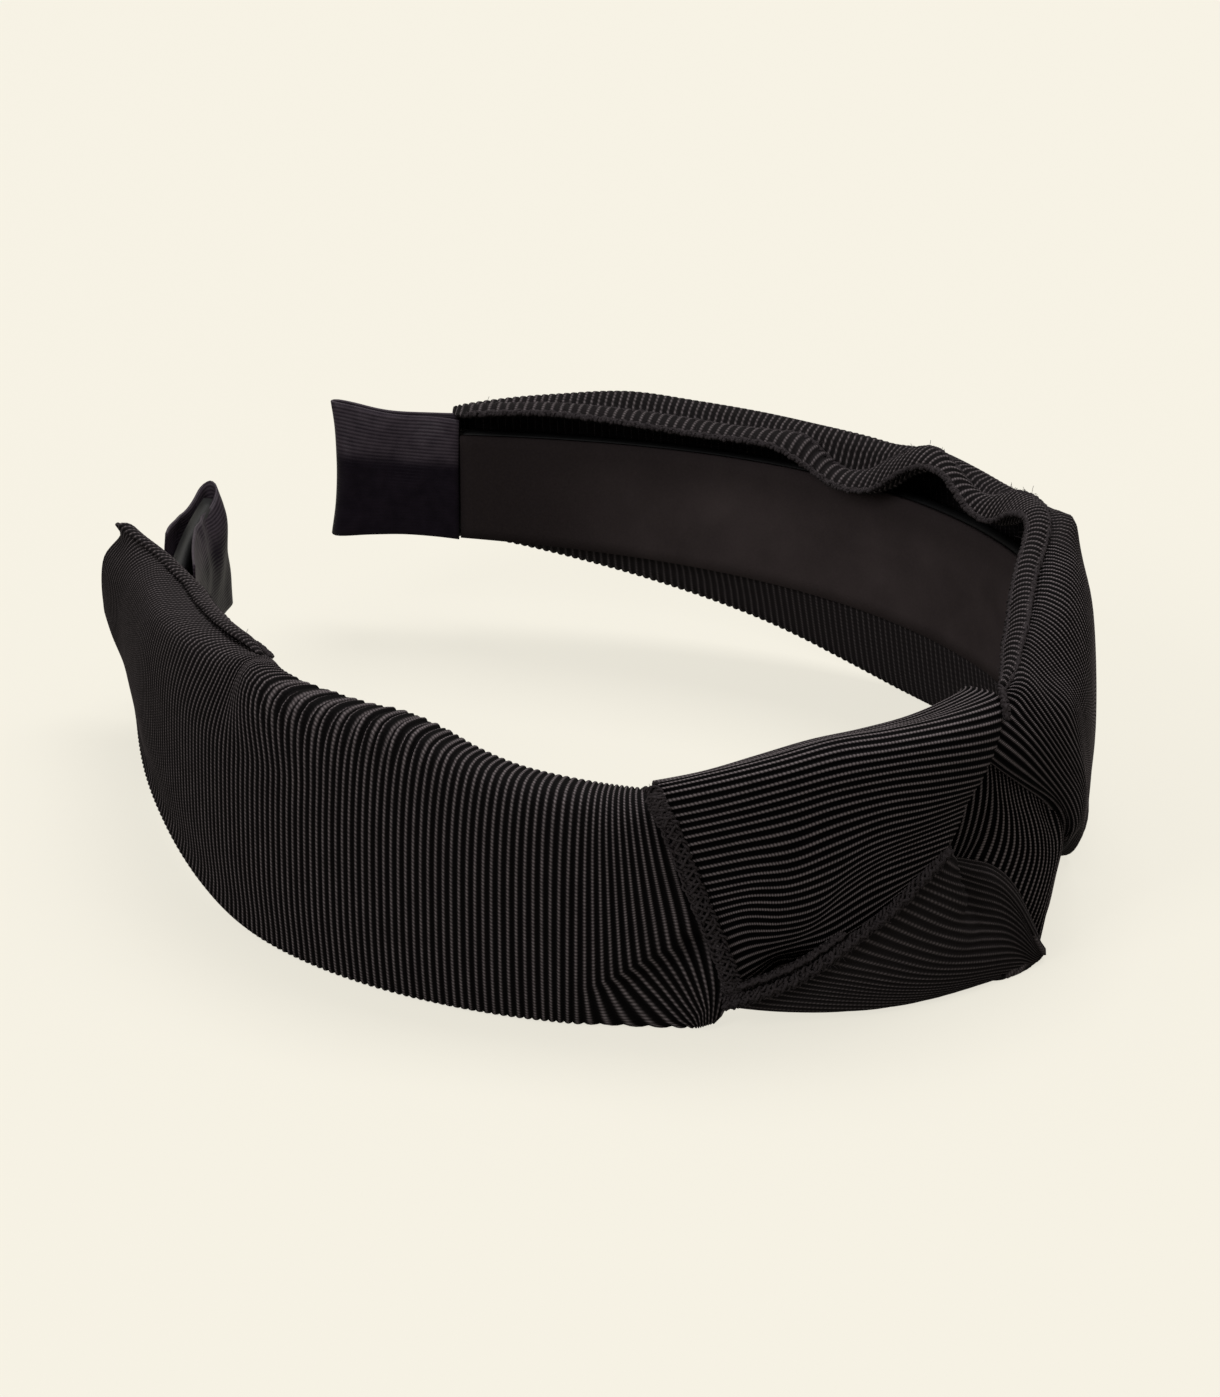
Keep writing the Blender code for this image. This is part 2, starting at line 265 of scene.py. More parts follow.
def ribbed_sheet(name, net, across="u", facing="out", shape=None, span=WHOLE, pitch=RIB_PITCH,
                 thick=CLOTH_THICK, measured=WHOLE, relief=RIB_HEIGHT, rib_shade=None):
    """Ribbed cloth through a net. The ribs run along v where across is u, and along u where it is v.
    measured is the part of each rib's length over which the ribs are evenly spaced, and the last argument,
    when given, sets the painted rib shade from u and v."""
    u_measured, v_measured = (measured, WHOLE) if across == "u" else (WHOLE, measured)
    _, u_size = even_steps(net, 0, 2, span, u_measured)
    _, v_size = even_steps(net, 1, 2, measured=v_measured)
    size_across, size_along = (u_size, v_size) if across == "u" else (v_size, u_size)
    ribs = max(2, round(size_across / pitch))
    count_across = ribs * SAMPLES_PER_RIB + 1
    count_along = max(8, round(size_along / ALONG_STEP)) + 1
    counts = (count_across, count_along) if across == "u" else (count_along, count_across)
    u, _ = even_steps(net, 0, counts[0], span, u_measured)
    v, _ = even_steps(net, 1, counts[1], measured=v_measured)
    places = net_places(net, u, v, shape)
    normal = normals_of(places)
    if not faces_right(places, normal, facing):
        places, normal, u = places[::-1], -normal[::-1], u[::-1]
    phase_line = np.linspace(0, ribs, count_across)
    along_line = np.linspace(0, size_along, count_along)
    if across == "u":
        phase, along = np.meshgrid(phase_line, along_line, indexing="ij")
    else:
        along, phase = np.meshgrid(along_line, phase_line, indexing="ij")
    places = places + normal * (rib_relief(phase) * relief * MM)[..., None]
    texture = np.stack([along, phase], axis=-1)
    mesh = mesh_from_grid(name, places, texture)
    if rib_shade is not None:
        fades = rib_shade(*np.meshgrid(u, v, indexing="ij")).astype(np.float32)
        mesh.attributes.new(RIB_SHADE_MAP, "FLOAT", "POINT").data.foreach_set("value", fades.reshape(-1))
    obj = add_piece(name, mesh, CLOTH)
    obj["cut"] = [size_across * MM, size_along * MM]
    return thicken(obj, thick)


def evenly(amount):
    """The same painted rib shade all over a sheet."""
    return lambda u, v: np.full_like(u, amount)


def fading(least, rise, start, end, axis):
    """A painted rib shade that rises above its least from start to end of u (axis 0) or of v (axis 1)."""
    return lambda *steps: least + rise * smooth_step(start, end, steps[axis])


def plain_sheet(name, net, look, step, thick, facing="out", shape=None):
    """A smooth sheet through a net, with a vertex about every step millimetres."""
    _, u_size = even_steps(net, 0, 2)
    _, v_size = even_steps(net, 1, 2)
    u, _ = even_steps(net, 0, max(4, round(u_size / step)))
    v, _ = even_steps(net, 1, max(4, round(v_size / step)))
    places = net_places(net, u, v, shape)
    if not faces_right(places, normals_of(places), facing):
        places = places[::-1]
    along, over = np.meshgrid(np.linspace(0, u_size, len(u)), np.linspace(0, v_size, len(v)), indexing="ij")
    obj = add_piece(name, mesh_from_grid(name, places, np.stack([along, over], axis=-1)), look)
    obj["cut"] = [u_size * MM, v_size * MM]
    return thicken(obj, thick)


FIBRE_RADIUS = 0.035
FIBRE_SIDES, THREAD_SIDES = 3, 6


def tube(path, ups, radius):
    """Vertices and faces of a round thread along a path; ups are directions that it never runs along."""
    sides = THREAD_SIDES if radius > FIBRE_RADIUS else FIBRE_SIDES
    forward = unit(np.gradient(path, axis=0))
    across = unit(np.cross(forward, ups))
    over = np.cross(forward, across)
    turn = np.linspace(0, 2 * math.pi, sides, endpoint=False)
    ring = np.cos(turn)[None, :, None] * across[:, None] + np.sin(turn)[None, :, None] * over[:, None]
    verts = (path[:, None] + ring * radius * MM).reshape(-1, 3)
    count = len(path)
    index = np.arange(count * sides).reshape(count, sides)
    nearer, farther = index[:-1], index[1:]
    quads = np.stack([nearer, np.roll(nearer, -1, 1), np.roll(farther, -1, 1), farther], axis=-1)
    faces = quads.reshape(-1, 4).tolist()
    faces.append(index[0][::-1].tolist())
    faces.append(index[-1].tolist())
    return verts, faces


def thread_piece(name, threads):
    """One mesh of many threads, each (path, ups, radius)."""
    verts, faces, count = [], [], 0
    for path, ups, radius in threads:
        more, found = tube(path, ups, radius)
        verts.append(more)
        faces.extend([[count + k for k in face] for face in found])
        count += len(more)
    mesh = bpy.data.meshes.new(name)
    mesh.from_pydata(np.concatenate(verts).tolist(), [], faces)
    mesh.shade_smooth()
    return add_piece(name, mesh, YARN)


UPWARDS = (0, 0, 1)
LOOP_PITCH = 1.6
STEPS_PER_LOOP = 12
TWIST_PITCH = 1.5
TWIST_RADIUS = 0.26
TWISTED_THREAD = 0.19
FIBRE_CURL = 0.45


def overlock(seam, width, ups=None, edges=(-1, 1), lift=0.6, seed=1, fuzz=1.5, loop_radius=0.25):
    """Threads of an overlock row: loops from side to side, a twisted pair on its edges, and fuzz.
    seam is a row of (s, n, h) points, and fuzz the number of loose fibres on each millimetre."""
    rng = np.random.default_rng(seed)
    length = np.linalg.norm(np.diff(at(spline(seam, np.linspace(0, 1, 200))), axis=0), axis=1).sum() / MM
    count = round(length / LOOP_PITCH * STEPS_PER_LOOP)
    steps = np.linspace(0, 1, count)
    places = spline(seam, steps)
    path = at(places)
    forward = unit(np.gradient(path, axis=0))
    if ups is None:
        up = unit(at(places + [0, 1, 0]) - path)
    else:
        up = np.broadcast_to(unit(np.asarray(ups, float)), path.shape)
    side = unit(np.cross(forward, up))
    up = np.cross(side, forward)
    run = steps * length
    threads = []

    # Waves of unlike lengths keep any two stitches from being the same.
    sway = 0.12 * np.sin(run * 2.3 + seed) + 0.1 * np.sin(run * 5.1)
    for start in (0.0, math.pi * 0.8):
        turn = 2 * math.pi * run / LOOP_PITCH + start + 0.5 * np.sin(run * 0.9 + seed)
        reach = np.sin(turn) * (width / 2) * (1 + 0.22 * np.sin(run * 3.7 + start))
        rise = lift * (0.2 + 0.8 * np.cos(turn) ** 2) * (1 - 0.12 * start) + sway * 0.8
        slip = 0.34 * np.sin(2 * turn)
        loops = path + (side * reach[:, None] + up * rise[:, None] + forward * slip[:, None]) * MM
        threads.append((loops, up, loop_radius))
    for edge in edges:
        for start in (0.0, math.pi):
            turn = 2 * math.pi * run / TWIST_PITCH + start
            off = edge * width / 2 + TWIST_RADIUS * np.cos(turn) + sway * 0.8
            rise = 0.15 + TWIST_RADIUS * np.sin(turn)
            twisted = path + (side * off[:, None] + up * rise[:, None]) * MM
            threads.append((twisted, up, TWISTED_THREAD))
    for _ in range(round(length * fuzz)):
        k = rng.integers(1, count - 1)
        root = path[k] + (side[k] * rng.uniform(-0.5, 0.5) * width + up[k] * lift * 0.8) * MM
        lean = unit(side[k] * rng.normal() + up[k] * abs(rng.normal()) + forward[k] * rng.normal())
        curl = unit(rng.normal(size=3))
        t = np.linspace(0, 1, 5)[:, None]
        fibre = root + (lean * t + curl * FIBRE_CURL * t ** 2) * rng.uniform(0.4, 1.1) * MM
        across = np.broadcast_to(unit(np.cross(lean, curl)), fibre.shape)
        threads.append((fibre, across, FIBRE_RADIUS))
    return threads


# ---- materials

def new_material(name):
    """A material, its node tree and its shader node."""
    made = bpy.data.materials.new(name)
    made.use_nodes = True
    tree = made.node_tree
    return made, tree, tree.nodes["Principled BSDF"]


def node(tree, kind, **values):
    """A shader node whose properties have the given values."""
    made = tree.nodes.new(kind)
    for key, value in values.items():
        setattr(made, key, value)
    return made


def maths(tree, operation, *inputs):
    """The result of an operation on sockets and numbers."""
    made = node(tree, "ShaderNodeMath", operation=operation)
    for socket, value in zip(made.inputs, inputs):
        if isinstance(value, (int, float)):
            socket.default_value = value
        else:
            tree.links.new(value, socket)
    return made.outputs[0]


def mixed(tree, factor, first, second):
    """A colour between two, by a factor socket."""
    made = node(tree, "ShaderNodeMix", data_type="RGBA")
    tree.links.new(factor, made.inputs["Factor"])
    for key, value in (("A", first), ("B", second)):
        socket = [s for s in made.inputs if s.name == key and s.type == "RGBA"][0]
        if isinstance(value, tuple):
            socket.default_value = value
        else:
            tree.links.new(value, socket)
    return [s for s in made.outputs if s.type == "RGBA"][0]


def ramp(tree, value, start, end):
    """A smooth rise from 0 at start to 1 at end."""
    made = node(tree, "ShaderNodeMapRange", interpolation_type="SMOOTHSTEP")
    tree.links.new(value, made.inputs["Value"])
    made.inputs["From Min"].default_value = start
    made.inputs["From Max"].default_value = end
    return made.outputs[0]


def noise(tree, vector, scale, detail=3.0):
    """Soft noise from 0 to 1, with scale grains on each unit of the vector."""
    made = node(tree, "ShaderNodeTexNoise")
    made.inputs["Scale"].default_value = scale
    made.inputs["Detail"].default_value = detail
    tree.links.new(vector, made.inputs["Vector"])
    return made.outputs[0]


def weave_axes(tree):
    """Along the ribs in millimetres, across them in ribs, and both as one vector. On a smooth sheet
    both are in millimetres."""
    uv = node(tree, "ShaderNodeUVMap", uv_map=TEXTURE_MAP)
    split = node(tree, "ShaderNodeSeparateXYZ")
    tree.links.new(uv.outputs[0], split.inputs[0])
    return split.outputs[0], split.outputs[1], uv.outputs[0]


def object_place(tree):
    """The place on the piece, in metres."""
    return node(tree, "ShaderNodeTexCoord").outputs["Object"]


def surface(tree, shader, colour, roughness, specular, relief, strength, depth):
    """Sets a shader's colour, its gloss and the bumps that relief makes, whose depth is in metres."""
    tree.links.new(colour, shader.inputs["Base Color"])
    shader.inputs["Roughness"].default_value = roughness
    shader.inputs["Specular IOR Level"].default_value = specular
    bumps = node(tree, "ShaderNodeBump")
    bumps.inputs["Strength"].default_value = strength
    bumps.inputs["Distance"].default_value = depth
    tree.links.new(relief, bumps.inputs["Height"])
    tree.links.new(bumps.outputs[0], shader.inputs["Normal"])


# Painted shade: the near-black groove colour. Painted highlight: the crest colour.
CLOTH_GROOVE_SHADE, CLOTH_CREST_HIGHLIGHT = (0.0005, 0.0004, 0.0005, 1), (0.092, 0.079, 0.083, 1)
# The suede's lighter colour is painted light, and its dark colour shows where that gives way to painted
# shade.
SUEDE_DARK, SUEDE_LIT = (0.0085, 0.0066, 0.0069, 1), (0.036, 0.0285, 0.0295, 1)
SATIN_DARK, SATIN_DARK_CLOUD = (0.0015, 0.0010, 0.0024, 1), (0.0085, 0.0060, 0.0098, 1)
# The satin's lighter upper colours are a painted sheen highlight.
SATIN_HIGHLIGHT, SATIN_HIGHLIGHT_CLOUD = (0.008, 0.006, 0.009, 1), (0.034, 0.027, 0.034, 1)
YARN_DARK, YARN_LIGHT = (0.0012, 0.0010, 0.0012, 1), (0.034, 0.029, 0.031, 1)
PLASTIC_DARK, PLASTIC_LIGHT = (0.002, 0.002, 0.0022, 1), (0.004, 0.004, 0.0045, 1)

# Lengths in millimetres: a yarn float on a rib, a thread of the satin, and the heights up the ribbon
# between which its painted sheen highlight starts.
FLOAT_LENGTH = 0.46
SATIN_THREAD = 0.55
SATIN_HIGHLIGHT_FROM, SATIN_HIGHLIGHT_TO = 11.5, 14.0

# World places, in metres, between which the painted light sets in, towards the crown and towards the floor;
# beyond them lies painted shade.
LIT_TOWARD_CROWN = (0.060, 0.030)
LIT_TOWARD_FLOOR = (0.034, 0.024)


def ribbed_cloth():
    """Black cloth of round ribs, each covered by slanting yarn floats, with a painted highlight along its
    crest and painted shade in its grooves.
    """
    made, tree, shader = new_material("ribbed_cloth")
    along, phase, uv = weave_axes(tree)
    crest = maths(tree, "ABSOLUTE", maths(tree, "SINE", maths(tree, "MULTIPLY", phase, math.pi)))
    slant = maths(tree, "ADD", maths(tree, "MULTIPLY", along, 2 * math.pi / FLOAT_LENGTH),
                  maths(tree, "MULTIPLY", phase, 2 * math.pi * 0.8))
    floats = maths(tree, "MULTIPLY_ADD", maths(tree, "SINE", slant), 0.5, 0.5)
    patches = noise(tree, uv, 0.35, 4.0)
    grain = noise(tree, uv, 3.0, 3.0)

    # The painted highlight lies only on the top of a crest, and each pattern scales it by base + gain x
    # pattern.
    painted_crest_light = maths(tree, "POWER", crest, 9.0)
    for pattern, gain, base in ((floats, 0.75, 0.35), (grain, 1.1, 0.4), (patches, 0.8, 0.6)):
        painted_crest_light = maths(tree, "MULTIPLY", painted_crest_light, maths(tree, "MULTIPLY_ADD", pattern, gain, base))
    # A faint painted highlight on the flanks of the crests.
    flank = maths(tree, "MULTIPLY", maths(tree, "MULTIPLY", crest, crest),
                  maths(tree, "MULTIPLY_ADD", grain, 0.11, -0.02))
    painted_crest_light = maths(tree, "MAXIMUM", painted_crest_light, flank)
    # The painted rib shade dims the crest highlights and evens the grooves where the cloth lies in shade.
    rib_shade = node(tree, "ShaderNodeAttribute", attribute_name=RIB_SHADE_MAP).outputs["Fac"]
    painted_crest_light = maths(tree, "MULTIPLY", painted_crest_light, maths(tree, "MULTIPLY_ADD", rib_shade, -0.7, 1.0))
    painted_crest_light = maths(tree, "MULTIPLY_ADD", rib_shade, 0.09, painted_crest_light)
    colour = mixed(tree, painted_crest_light, CLOTH_GROOVE_SHADE, CLOTH_CREST_HIGHLIGHT)
    surface(tree, shader, colour, 0.7, 0.015, maths(tree, "MULTIPLY", floats, crest), 0.7, 0.00012)
    return made


def suede():
    """Dark suede, with painted light towards the crown and near the floor, and painted shade along its
    upper edge and towards the tips.
    """
    made, tree, shader = new_material("lining_suede")
    place = object_place(tree)
    cloud, nap = noise(tree, place, 95.0, 5.0), noise(tree, place, 2600.0, 3.0)
    split = node(tree, "ShaderNodeSeparateXYZ")
    tree.links.new(place, split.inputs[0])
    toward_crown = ramp(tree, split.outputs[1], *LIT_TOWARD_CROWN)
    toward_floor = ramp(tree, split.outputs[2], *LIT_TOWARD_FLOOR)
    # Painted light towards the crown and low down, and painted shade under the overhang at the top and
    # towards the tips.
    painted_light = maths(tree, "MULTIPLY", toward_crown, maths(tree, "MULTIPLY_ADD", toward_floor, 0.7, 0.3))
    tone = maths(tree, "MULTIPLY_ADD", painted_light, 0.45, 0.02)
    tone = maths(tree, "MULTIPLY", tone, maths(tree, "MULTIPLY_ADD", cloud, 1.9, 0.1))
    tone = maths(tree, "MULTIPLY_ADD", nap, 0.22, tone)
    colour = mixed(tree, tone, SUEDE_DARK, SUEDE_LIT)
    surface(tree, shader, colour, 0.95, 0.02, nap, 0.35, 0.00008)
    return made


def satin():
    """Satin with fine threads along it, dark below, with a painted sheen highlight on its upper part."""
    made, tree, shader = new_material("tip_satin")
    _, over, uv = weave_axes(tree)
    threads = maths(tree, "SINE", maths(tree, "MULTIPLY", over, 2 * math.pi / SATIN_THREAD))
    clouds = noise(tree, uv, 0.5, 4.0)
    dark = mixed(tree, clouds, SATIN_DARK, SATIN_DARK_CLOUD)
    # The upper part's colour is a painted sheen highlight.
    light = mixed(tree, maths(tree, "MULTIPLY_ADD", threads, 0.3, clouds), SATIN_HIGHLIGHT, SATIN_HIGHLIGHT_CLOUD)
    colour = mixed(tree, ramp(tree, over, SATIN_HIGHLIGHT_FROM, SATIN_HIGHLIGHT_TO), dark, light)
    relief = maths(tree, "MULTIPLY_ADD", threads, 0.35, maths(tree, "MULTIPLY", clouds, 2.0))
    surface(tree, shader, colour, 0.38, 0.04, relief, 0.5, 0.0001)
    return made


def overlock_thread():
    """Spun yarn, with a tone and a bump for each of its fibres."""
    made, tree, shader = new_material("overlock_yarn")
    fuzz = noise(tree, object_place(tree), 3200.0, 4.0)
    surface(tree, shader, mixed(tree, fuzz, YARN_DARK, YARN_LIGHT), 0.9, 0.02, fuzz, 0.8, 0.00015)
    return made


def hoop_plastic():
    """Black moulded plastic with a faint grain."""
    made, tree, shader = new_material("hoop_plastic")
    grain = noise(tree, object_place(tree), 900.0)
    surface(tree, shader, mixed(tree, grain, PLASTIC_DARK, PLASTIC_LIGHT), 0.55, 0.15, grain, 0.1, 0.00005)
    return made


CLOTH, SUEDE, SATIN = ribbed_cloth(), suede(), satin()
YARN, PLASTIC = overlock_thread(), hoop_plastic()


# ---- how pieces are baked in place and stand in for the CAD

# Places along the hoop between which a sheet would turn with its arm. bends reads them but turns nothing.
BLEND_FROM, BLEND_TO = 20.0, 70.0


def bends(obj, side):
    """Bakes the piece's place into its mesh. Where its arm flexes, between the crown and the arm, is found,
    but the piece doesn't bend there.
    """
    first, last = at([side * BLEND_FROM, 0.0, 0.0]), at([side * BLEND_TO, 0.0, 0.0])
    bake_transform(obj)
    return obj


def stand_for(side, pieces):
    """Bakes each piece's place into its mesh, and each replaces the CAD node that it's listed under, which
    is hidden.
    """
    for cad_node, piece in pieces.items():
        bends(piece, side)
        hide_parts(cad_node)


# ---- stage

FLOOR_REACH = 3.0
PAPER_COLOUR, PAPER_GLOW = (0.09, 0.0855, 0.0749, 1), (1.0, 0.965, 0.855, 1)

# The paper glows this much on the headband, and this much more in the camera's own view of it.
GLOW_ON_CLOTH, GLOW_MORE_IN_VIEW = 0.29, 0.445
SKY_COLOUR, SKY_STRENGTH = (0.94, 0.90, 0.80, 1), 0.75

# Each softbox's place and size in metres, and its power in watts.
SOFTBOXES = {
    "top_softbox": ((0.9, 0.3, 2.4), (2.0, 1.4), 92),
    "left_softbox": ((-1.8, -0.2, 1.3), (0.8, 0.8), 26),
}


def make_floor():
    """A sheet of warm white paper under the headband."""
    floor_mesh = bpy.data.meshes.new("floor")
    corners = [(x * FLOOR_REACH, y * FLOOR_REACH, 0) for x, y in ((-1, -1), (1, -1), (1, 1), (-1, 1))]
    floor_mesh.from_pydata(corners, [], [(0, 1, 2, 3)])
    floor = bpy.data.objects.new("floor", floor_mesh)
    bpy.context.scene.collection.objects.link(floor)
    paper, tree, shader = new_material("paper")
    shader.inputs["Base Color"].default_value = PAPER_COLOUR
    shader.inputs["Roughness"].default_value = 0.9
    shader.inputs["Specular IOR Level"].default_value = 0.0
    shader.inputs["Emission Color"].default_value = PAPER_GLOW
    seen = node(tree, "ShaderNodeLightPath").outputs["Is Camera Ray"]
    glow = maths(tree, "MULTIPLY_ADD", seen, GLOW_MORE_IN_VIEW, GLOW_ON_CLOTH)
    tree.links.new(glow, shader.inputs["Emission Strength"])
    floor.data.materials.append(paper)


def make_lights():
    """Daylight from all round, a large softbox overhead and a smaller one on the left."""
    world = bpy.data.worlds.new("studio")
    bpy.context.scene.world = world
    world.use_nodes = True
    background = world.node_tree.nodes["Background"]
    background.inputs["Color"].default_value = SKY_COLOUR
    background.inputs["Strength"].default_value = SKY_STRENGTH
    for name, (place, size, power) in SOFTBOXES.items():
        light = bpy.data.lights.new(name, "AREA")
        light.shape = "RECTANGLE"
        light.size, light.size_y = size
        light.energy = power
        lamp = bpy.data.objects.new(name, light)
        lamp.location = place
        lamp.rotation_euler = (-Vector(place)).to_track_quat("-Z", "Y").to_euler()
        bpy.context.scene.collection.objects.link(lamp)
    bpy.context.scene.view_settings.view_transform = "Standard"


CAMERA_AZIMUTH, CAMERA_ELEVATION, CAMERA_ROLL = -43.5, 22.88, 0.49
CAMERA_DISTANCE = 1.274
CAMERA_TARGET = Vector((-0.00572, -0.0076, 0.02209))
CAMERA_LENS = 227.8


def make_camera():
    """A long lens, whose place is given by its azimuth, elevation and distance from its target."""
    azimuth, elevation = math.radians(CAMERA_AZIMUTH), math.radians(CAMERA_ELEVATION)
    back = Vector((math.sin(azimuth) * math.cos(elevation), -math.cos(azimuth) * math.cos(elevation),
                   math.sin(elevation)))
    camera = bpy.data.objects.new("camera", bpy.data.cameras.new("camera"))
    camera.data.lens = CAMERA_LENS
    camera.data.clip_start = 0.05
    roll = Matrix.Rotation(math.radians(CAMERA_ROLL), 3, "Z")
    turn = (-back).to_track_quat("-Z", "Y").to_matrix() @ roll
    camera.matrix_world = Matrix.Translation(CAMERA_TARGET + back * CAMERA_DISTANCE) @ turn.to_4x4()
    bpy.context.scene.collection.objects.link(camera)
    bpy.context.scene.camera = camera


# ---- hoop, lining and tip ribbons

# Where the ribbons start along the hoop, where the hoop starts and ends, where the faces of the
# hoop and lining lie across its thickness, and the gap between the lining and a ribbon.
RIBBON_START = {1: 179.4, -1: 166.0}
HOOP_START, HOOP_END = 0.02, 197.3
HOOP_OUTSIDE, HOOP_THICK = 1.0, 2.0
LINING_INSIDE, LINING_THICK = -2.3, 0.9
LINING_GAP = 0.2


def strip_net(side, end, n, margin):
    """A strip along one half of the hoop, narrower than it by a margin on both edges."""
    places = np.linspace(HOOP_START, end, 14)
    edges = (-1, -0.5, 0, 0.5, 1)
    return [[(side * s, n, edge * (half_width(s) - margin)) for s in places] for edge in edges]


def make_hoop_and_lining():
    """Half of the hoop and half of its lining on each side of the crown's middle."""
    for side, name in ((1, "right"), (-1, "left")):
        hoop_net = strip_net(side, HOOP_END, HOOP_OUTSIDE, 0.2)
        hoop = plain_sheet(f"hoop_{name}_half", hoop_net, PLASTIC, 2.5, HOOP_THICK)
        bends(hoop, side)
        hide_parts(f"hoop_{name}_arm", "hoop_crown")
        lining_net = strip_net(side, RIBBON_START[side] - LINING_GAP, LINING_INSIDE, 0.1)
        lining = plain_sheet(f"lining_{name}_half", lining_net, SUEDE, 2.0, LINING_THICK,
                             facing="in")
        bends(lining, side)
        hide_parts(f"lining_{name}_arm", "lining_crown")


TIP_TOP = {
    1: profile([(179, 10.9), (187, 10.7), (192, 11.1), (196, 12.2), (199.6, 12.2)]),
    -1: profile([(166, 11.0), (179, 9.9), (185, 9.7), (190, 8.6), (194, 8.0), (197, 8.6), (199.6, 10.3)]),
}
TIP_BOTTOM = profile([(166, -9.4), (179, -8.5), (188, -8.1), (199.6, -9.0)])
RIBBON_END, RIBBON_HOLLOW = 199.4, 0.9
RIBBON_INSIDE, RIBBON_FOLD = -2.7, 1.8

# Up the ribbon: the part of its height, how far its inner face leans outwards there, and where its
# outer face lies on each side.
RIBBON_PARTS = (0.0, 0.22, 0.45, 0.62, 0.82, 1.0)
RIBBON_LEANS = (0.0, 0.0, 0.0, 0.1, 0.9, 2.2)
RIBBON_OUTSIDE = {1: (1.6, 1.8, 1.8, 1.7, 1.5, 0.9), -1: (1.6, 1.8, 2.0, 2.4, 2.8, 2.6)}
CREASE_DEPTH = {1: 0.16, -1: 0.3}


def ribbon_row(side, part, lean, outside):
    """One line round the tip: along its inner face, round its end and back along its outer face."""
    fold = min(outside, RIBBON_FOLD)
    end = RIBBON_END - RIBBON_HOLLOW * (1 - (2 * part - 1) ** 2)
    run = []
    for s in (RIBBON_START[side], 183, 188, 193):
        run.append((s, RIBBON_INSIDE + lean * smooth_step(175, 186, s)))
    inside = run[-1][1]
    run += [(end - 1.2, inside + 0.1), (end, (inside + fold) / 2), (end - 1.2, fold)]
    run += [(192, (outside + fold) / 2), (186, outside), (180, outside)]
    low, high = TIP_BOTTOM, TIP_TOP[side]
    return [(side * s, n, low(s) + (high(s) - low(s)) * part) for s, n in run]


def make_tip_ribbons():
    """A satin ribbon folded round each tip, drawn in at its middle, whose upper part leans outwards."""
    for side, name in ((1, "right"), (-1, "left")):
        heights = zip(RIBBON_PARTS, RIBBON_LEANS, RIBBON_OUTSIDE[side])
        net = [ribbon_row(side, *height) for height in heights]

        def creased(places, depth=CREASE_DEPTH[side]):
            s, n, h = np.moveaxis(places, -1, 0)
            folds = np.sin(s * 0.5 + h * 0.35) + 0.6 * np.sin(s * 0.25 - h * 0.6 + 1.0)
            n = n + depth * folds * smooth_step(-7, 2, h) * smooth_step(180, 186, np.abs(s))
            return np.stack([s, n, h], axis=-1)

        ribbon = plain_sheet(f"{name}_tip_ribbon", net, SATIN, 0.7, 0.35, shape=creased)
        stand_for(side, {f"{name}_tip_tape": ribbon})


# ---- arm covers

def section_net(side, stations):
    """A net from stations, each a list of (s, n, h) round the arm."""
    return [[(side * s, n, h) for s, n, h in row] for row in zip(*stations)]


def arm_section(s, lip, fold, top, bottom, full, bottom_n=3.0, shoulder=0.8):
    """A cover's section, from its inner top edge over the top, down outside and under to the lining.
    lip, fold and top are (n, h) of the inner edge, of the fold beside it and of the highest point. full
    is how far out it reaches, and shoulder the part of that which it reaches just below its top."""
    under = -half_width(s) + 0.5
    rise = top[1] - bottom
    return [
        (s, *lip),
        (s, *fold),
        (s, *top),
        (s, full * shoulder, top[1] - rise * 0.10),
        (s, full * (0.8 + shoulder / 4), top[1] - rise * 0.32),
        (s, full * 1.02, bottom + rise * 0.32),
        (s, full * 0.92, bottom + rise * 0.10),
        (s, bottom_n + 0.6, bottom),
        (s, bottom_n - 1.6, bottom + 0.4),
        (s, 0.3, min(bottom + 4, under - 1.0)),
        (s, -1.2, under),
    ]


# Heights of the left cover's upper and lower edges.
LEFT_TOP = profile([
    (54, 13.4), (61, 14.2), (65, 14.8), (69, 15.6), (74, 17.2), (78, 18.7), (83, 19.6), (88, 19.4),
    (94, 18.7), (100, 18.7), (106, 18.7), (111, 19.2), (116, 19), (123, 17.6), (136, 15), (155, 11.5),
    (172, 9.5), (186, 8.3)])
LEFT_BOTTOM = profile([
    (54, -22.2), (70, -22), (90, -21.2), (104, -20.4), (114, -19), (127, -16.3), (138, -14), (155, -11.7),
    (186, -9.6)])

# How far out the cover reaches, and where its inner edge lies.
LEFT_FULL = profile([
    (54, 7.2), (78, 7), (90, 6.7), (104, 6.3), (120, 5.7), (136, 5.4), (155, 5.9), (164, 6.9), (171, 8.2),
    (178, 10.4), (183, 12.4), (186, 13.4)])
LEFT_LIP = profile([
    (54, -4), (98, -4), (106, -2.6), (113, -2.6), (121, -4), (136, -5), (147, -4.9), (158, -4), (167, -1.2),
    (174, 1.8), (180, 5.6), (186, 9.4)])

# Sections of the cover's end under the knot, which slant with the seam that crosses it.
LEFT_KNOT_STATIONS = [
    [(42, -4, 10.5), (42, -1.5, 12), (41.5, 2, 12.8), (41, 4.6, 11.6), (39, 5.6, 6), (36, 5.8, -4),
     (35, 6, -13), (37.6, 6.1, -19.8), (38.2, 2.6, -21), (38, 0.3, -16), (38, -1.2, -11.5)],
    [(47, -4, 11.4), (47, -1, 12.8), (47, 2.6, 13.2), (46.5, 5.9, 11.2), (45.5, 7.1, 5), (44, 7.3, -4),
     (42.5, 7.2, -14.5), (42.2, 6.8, -20.9), (43, 2.6, -22.2), (43, 0.3, -16), (43, -1.2, -11.5)],
]
LEFT_ARM_STATIONS = (54, 60, 66, 72, 78, 84, 90, 97, 104, 112, 120, 128, 136, 146, 155, 164, 172, 180, 186)

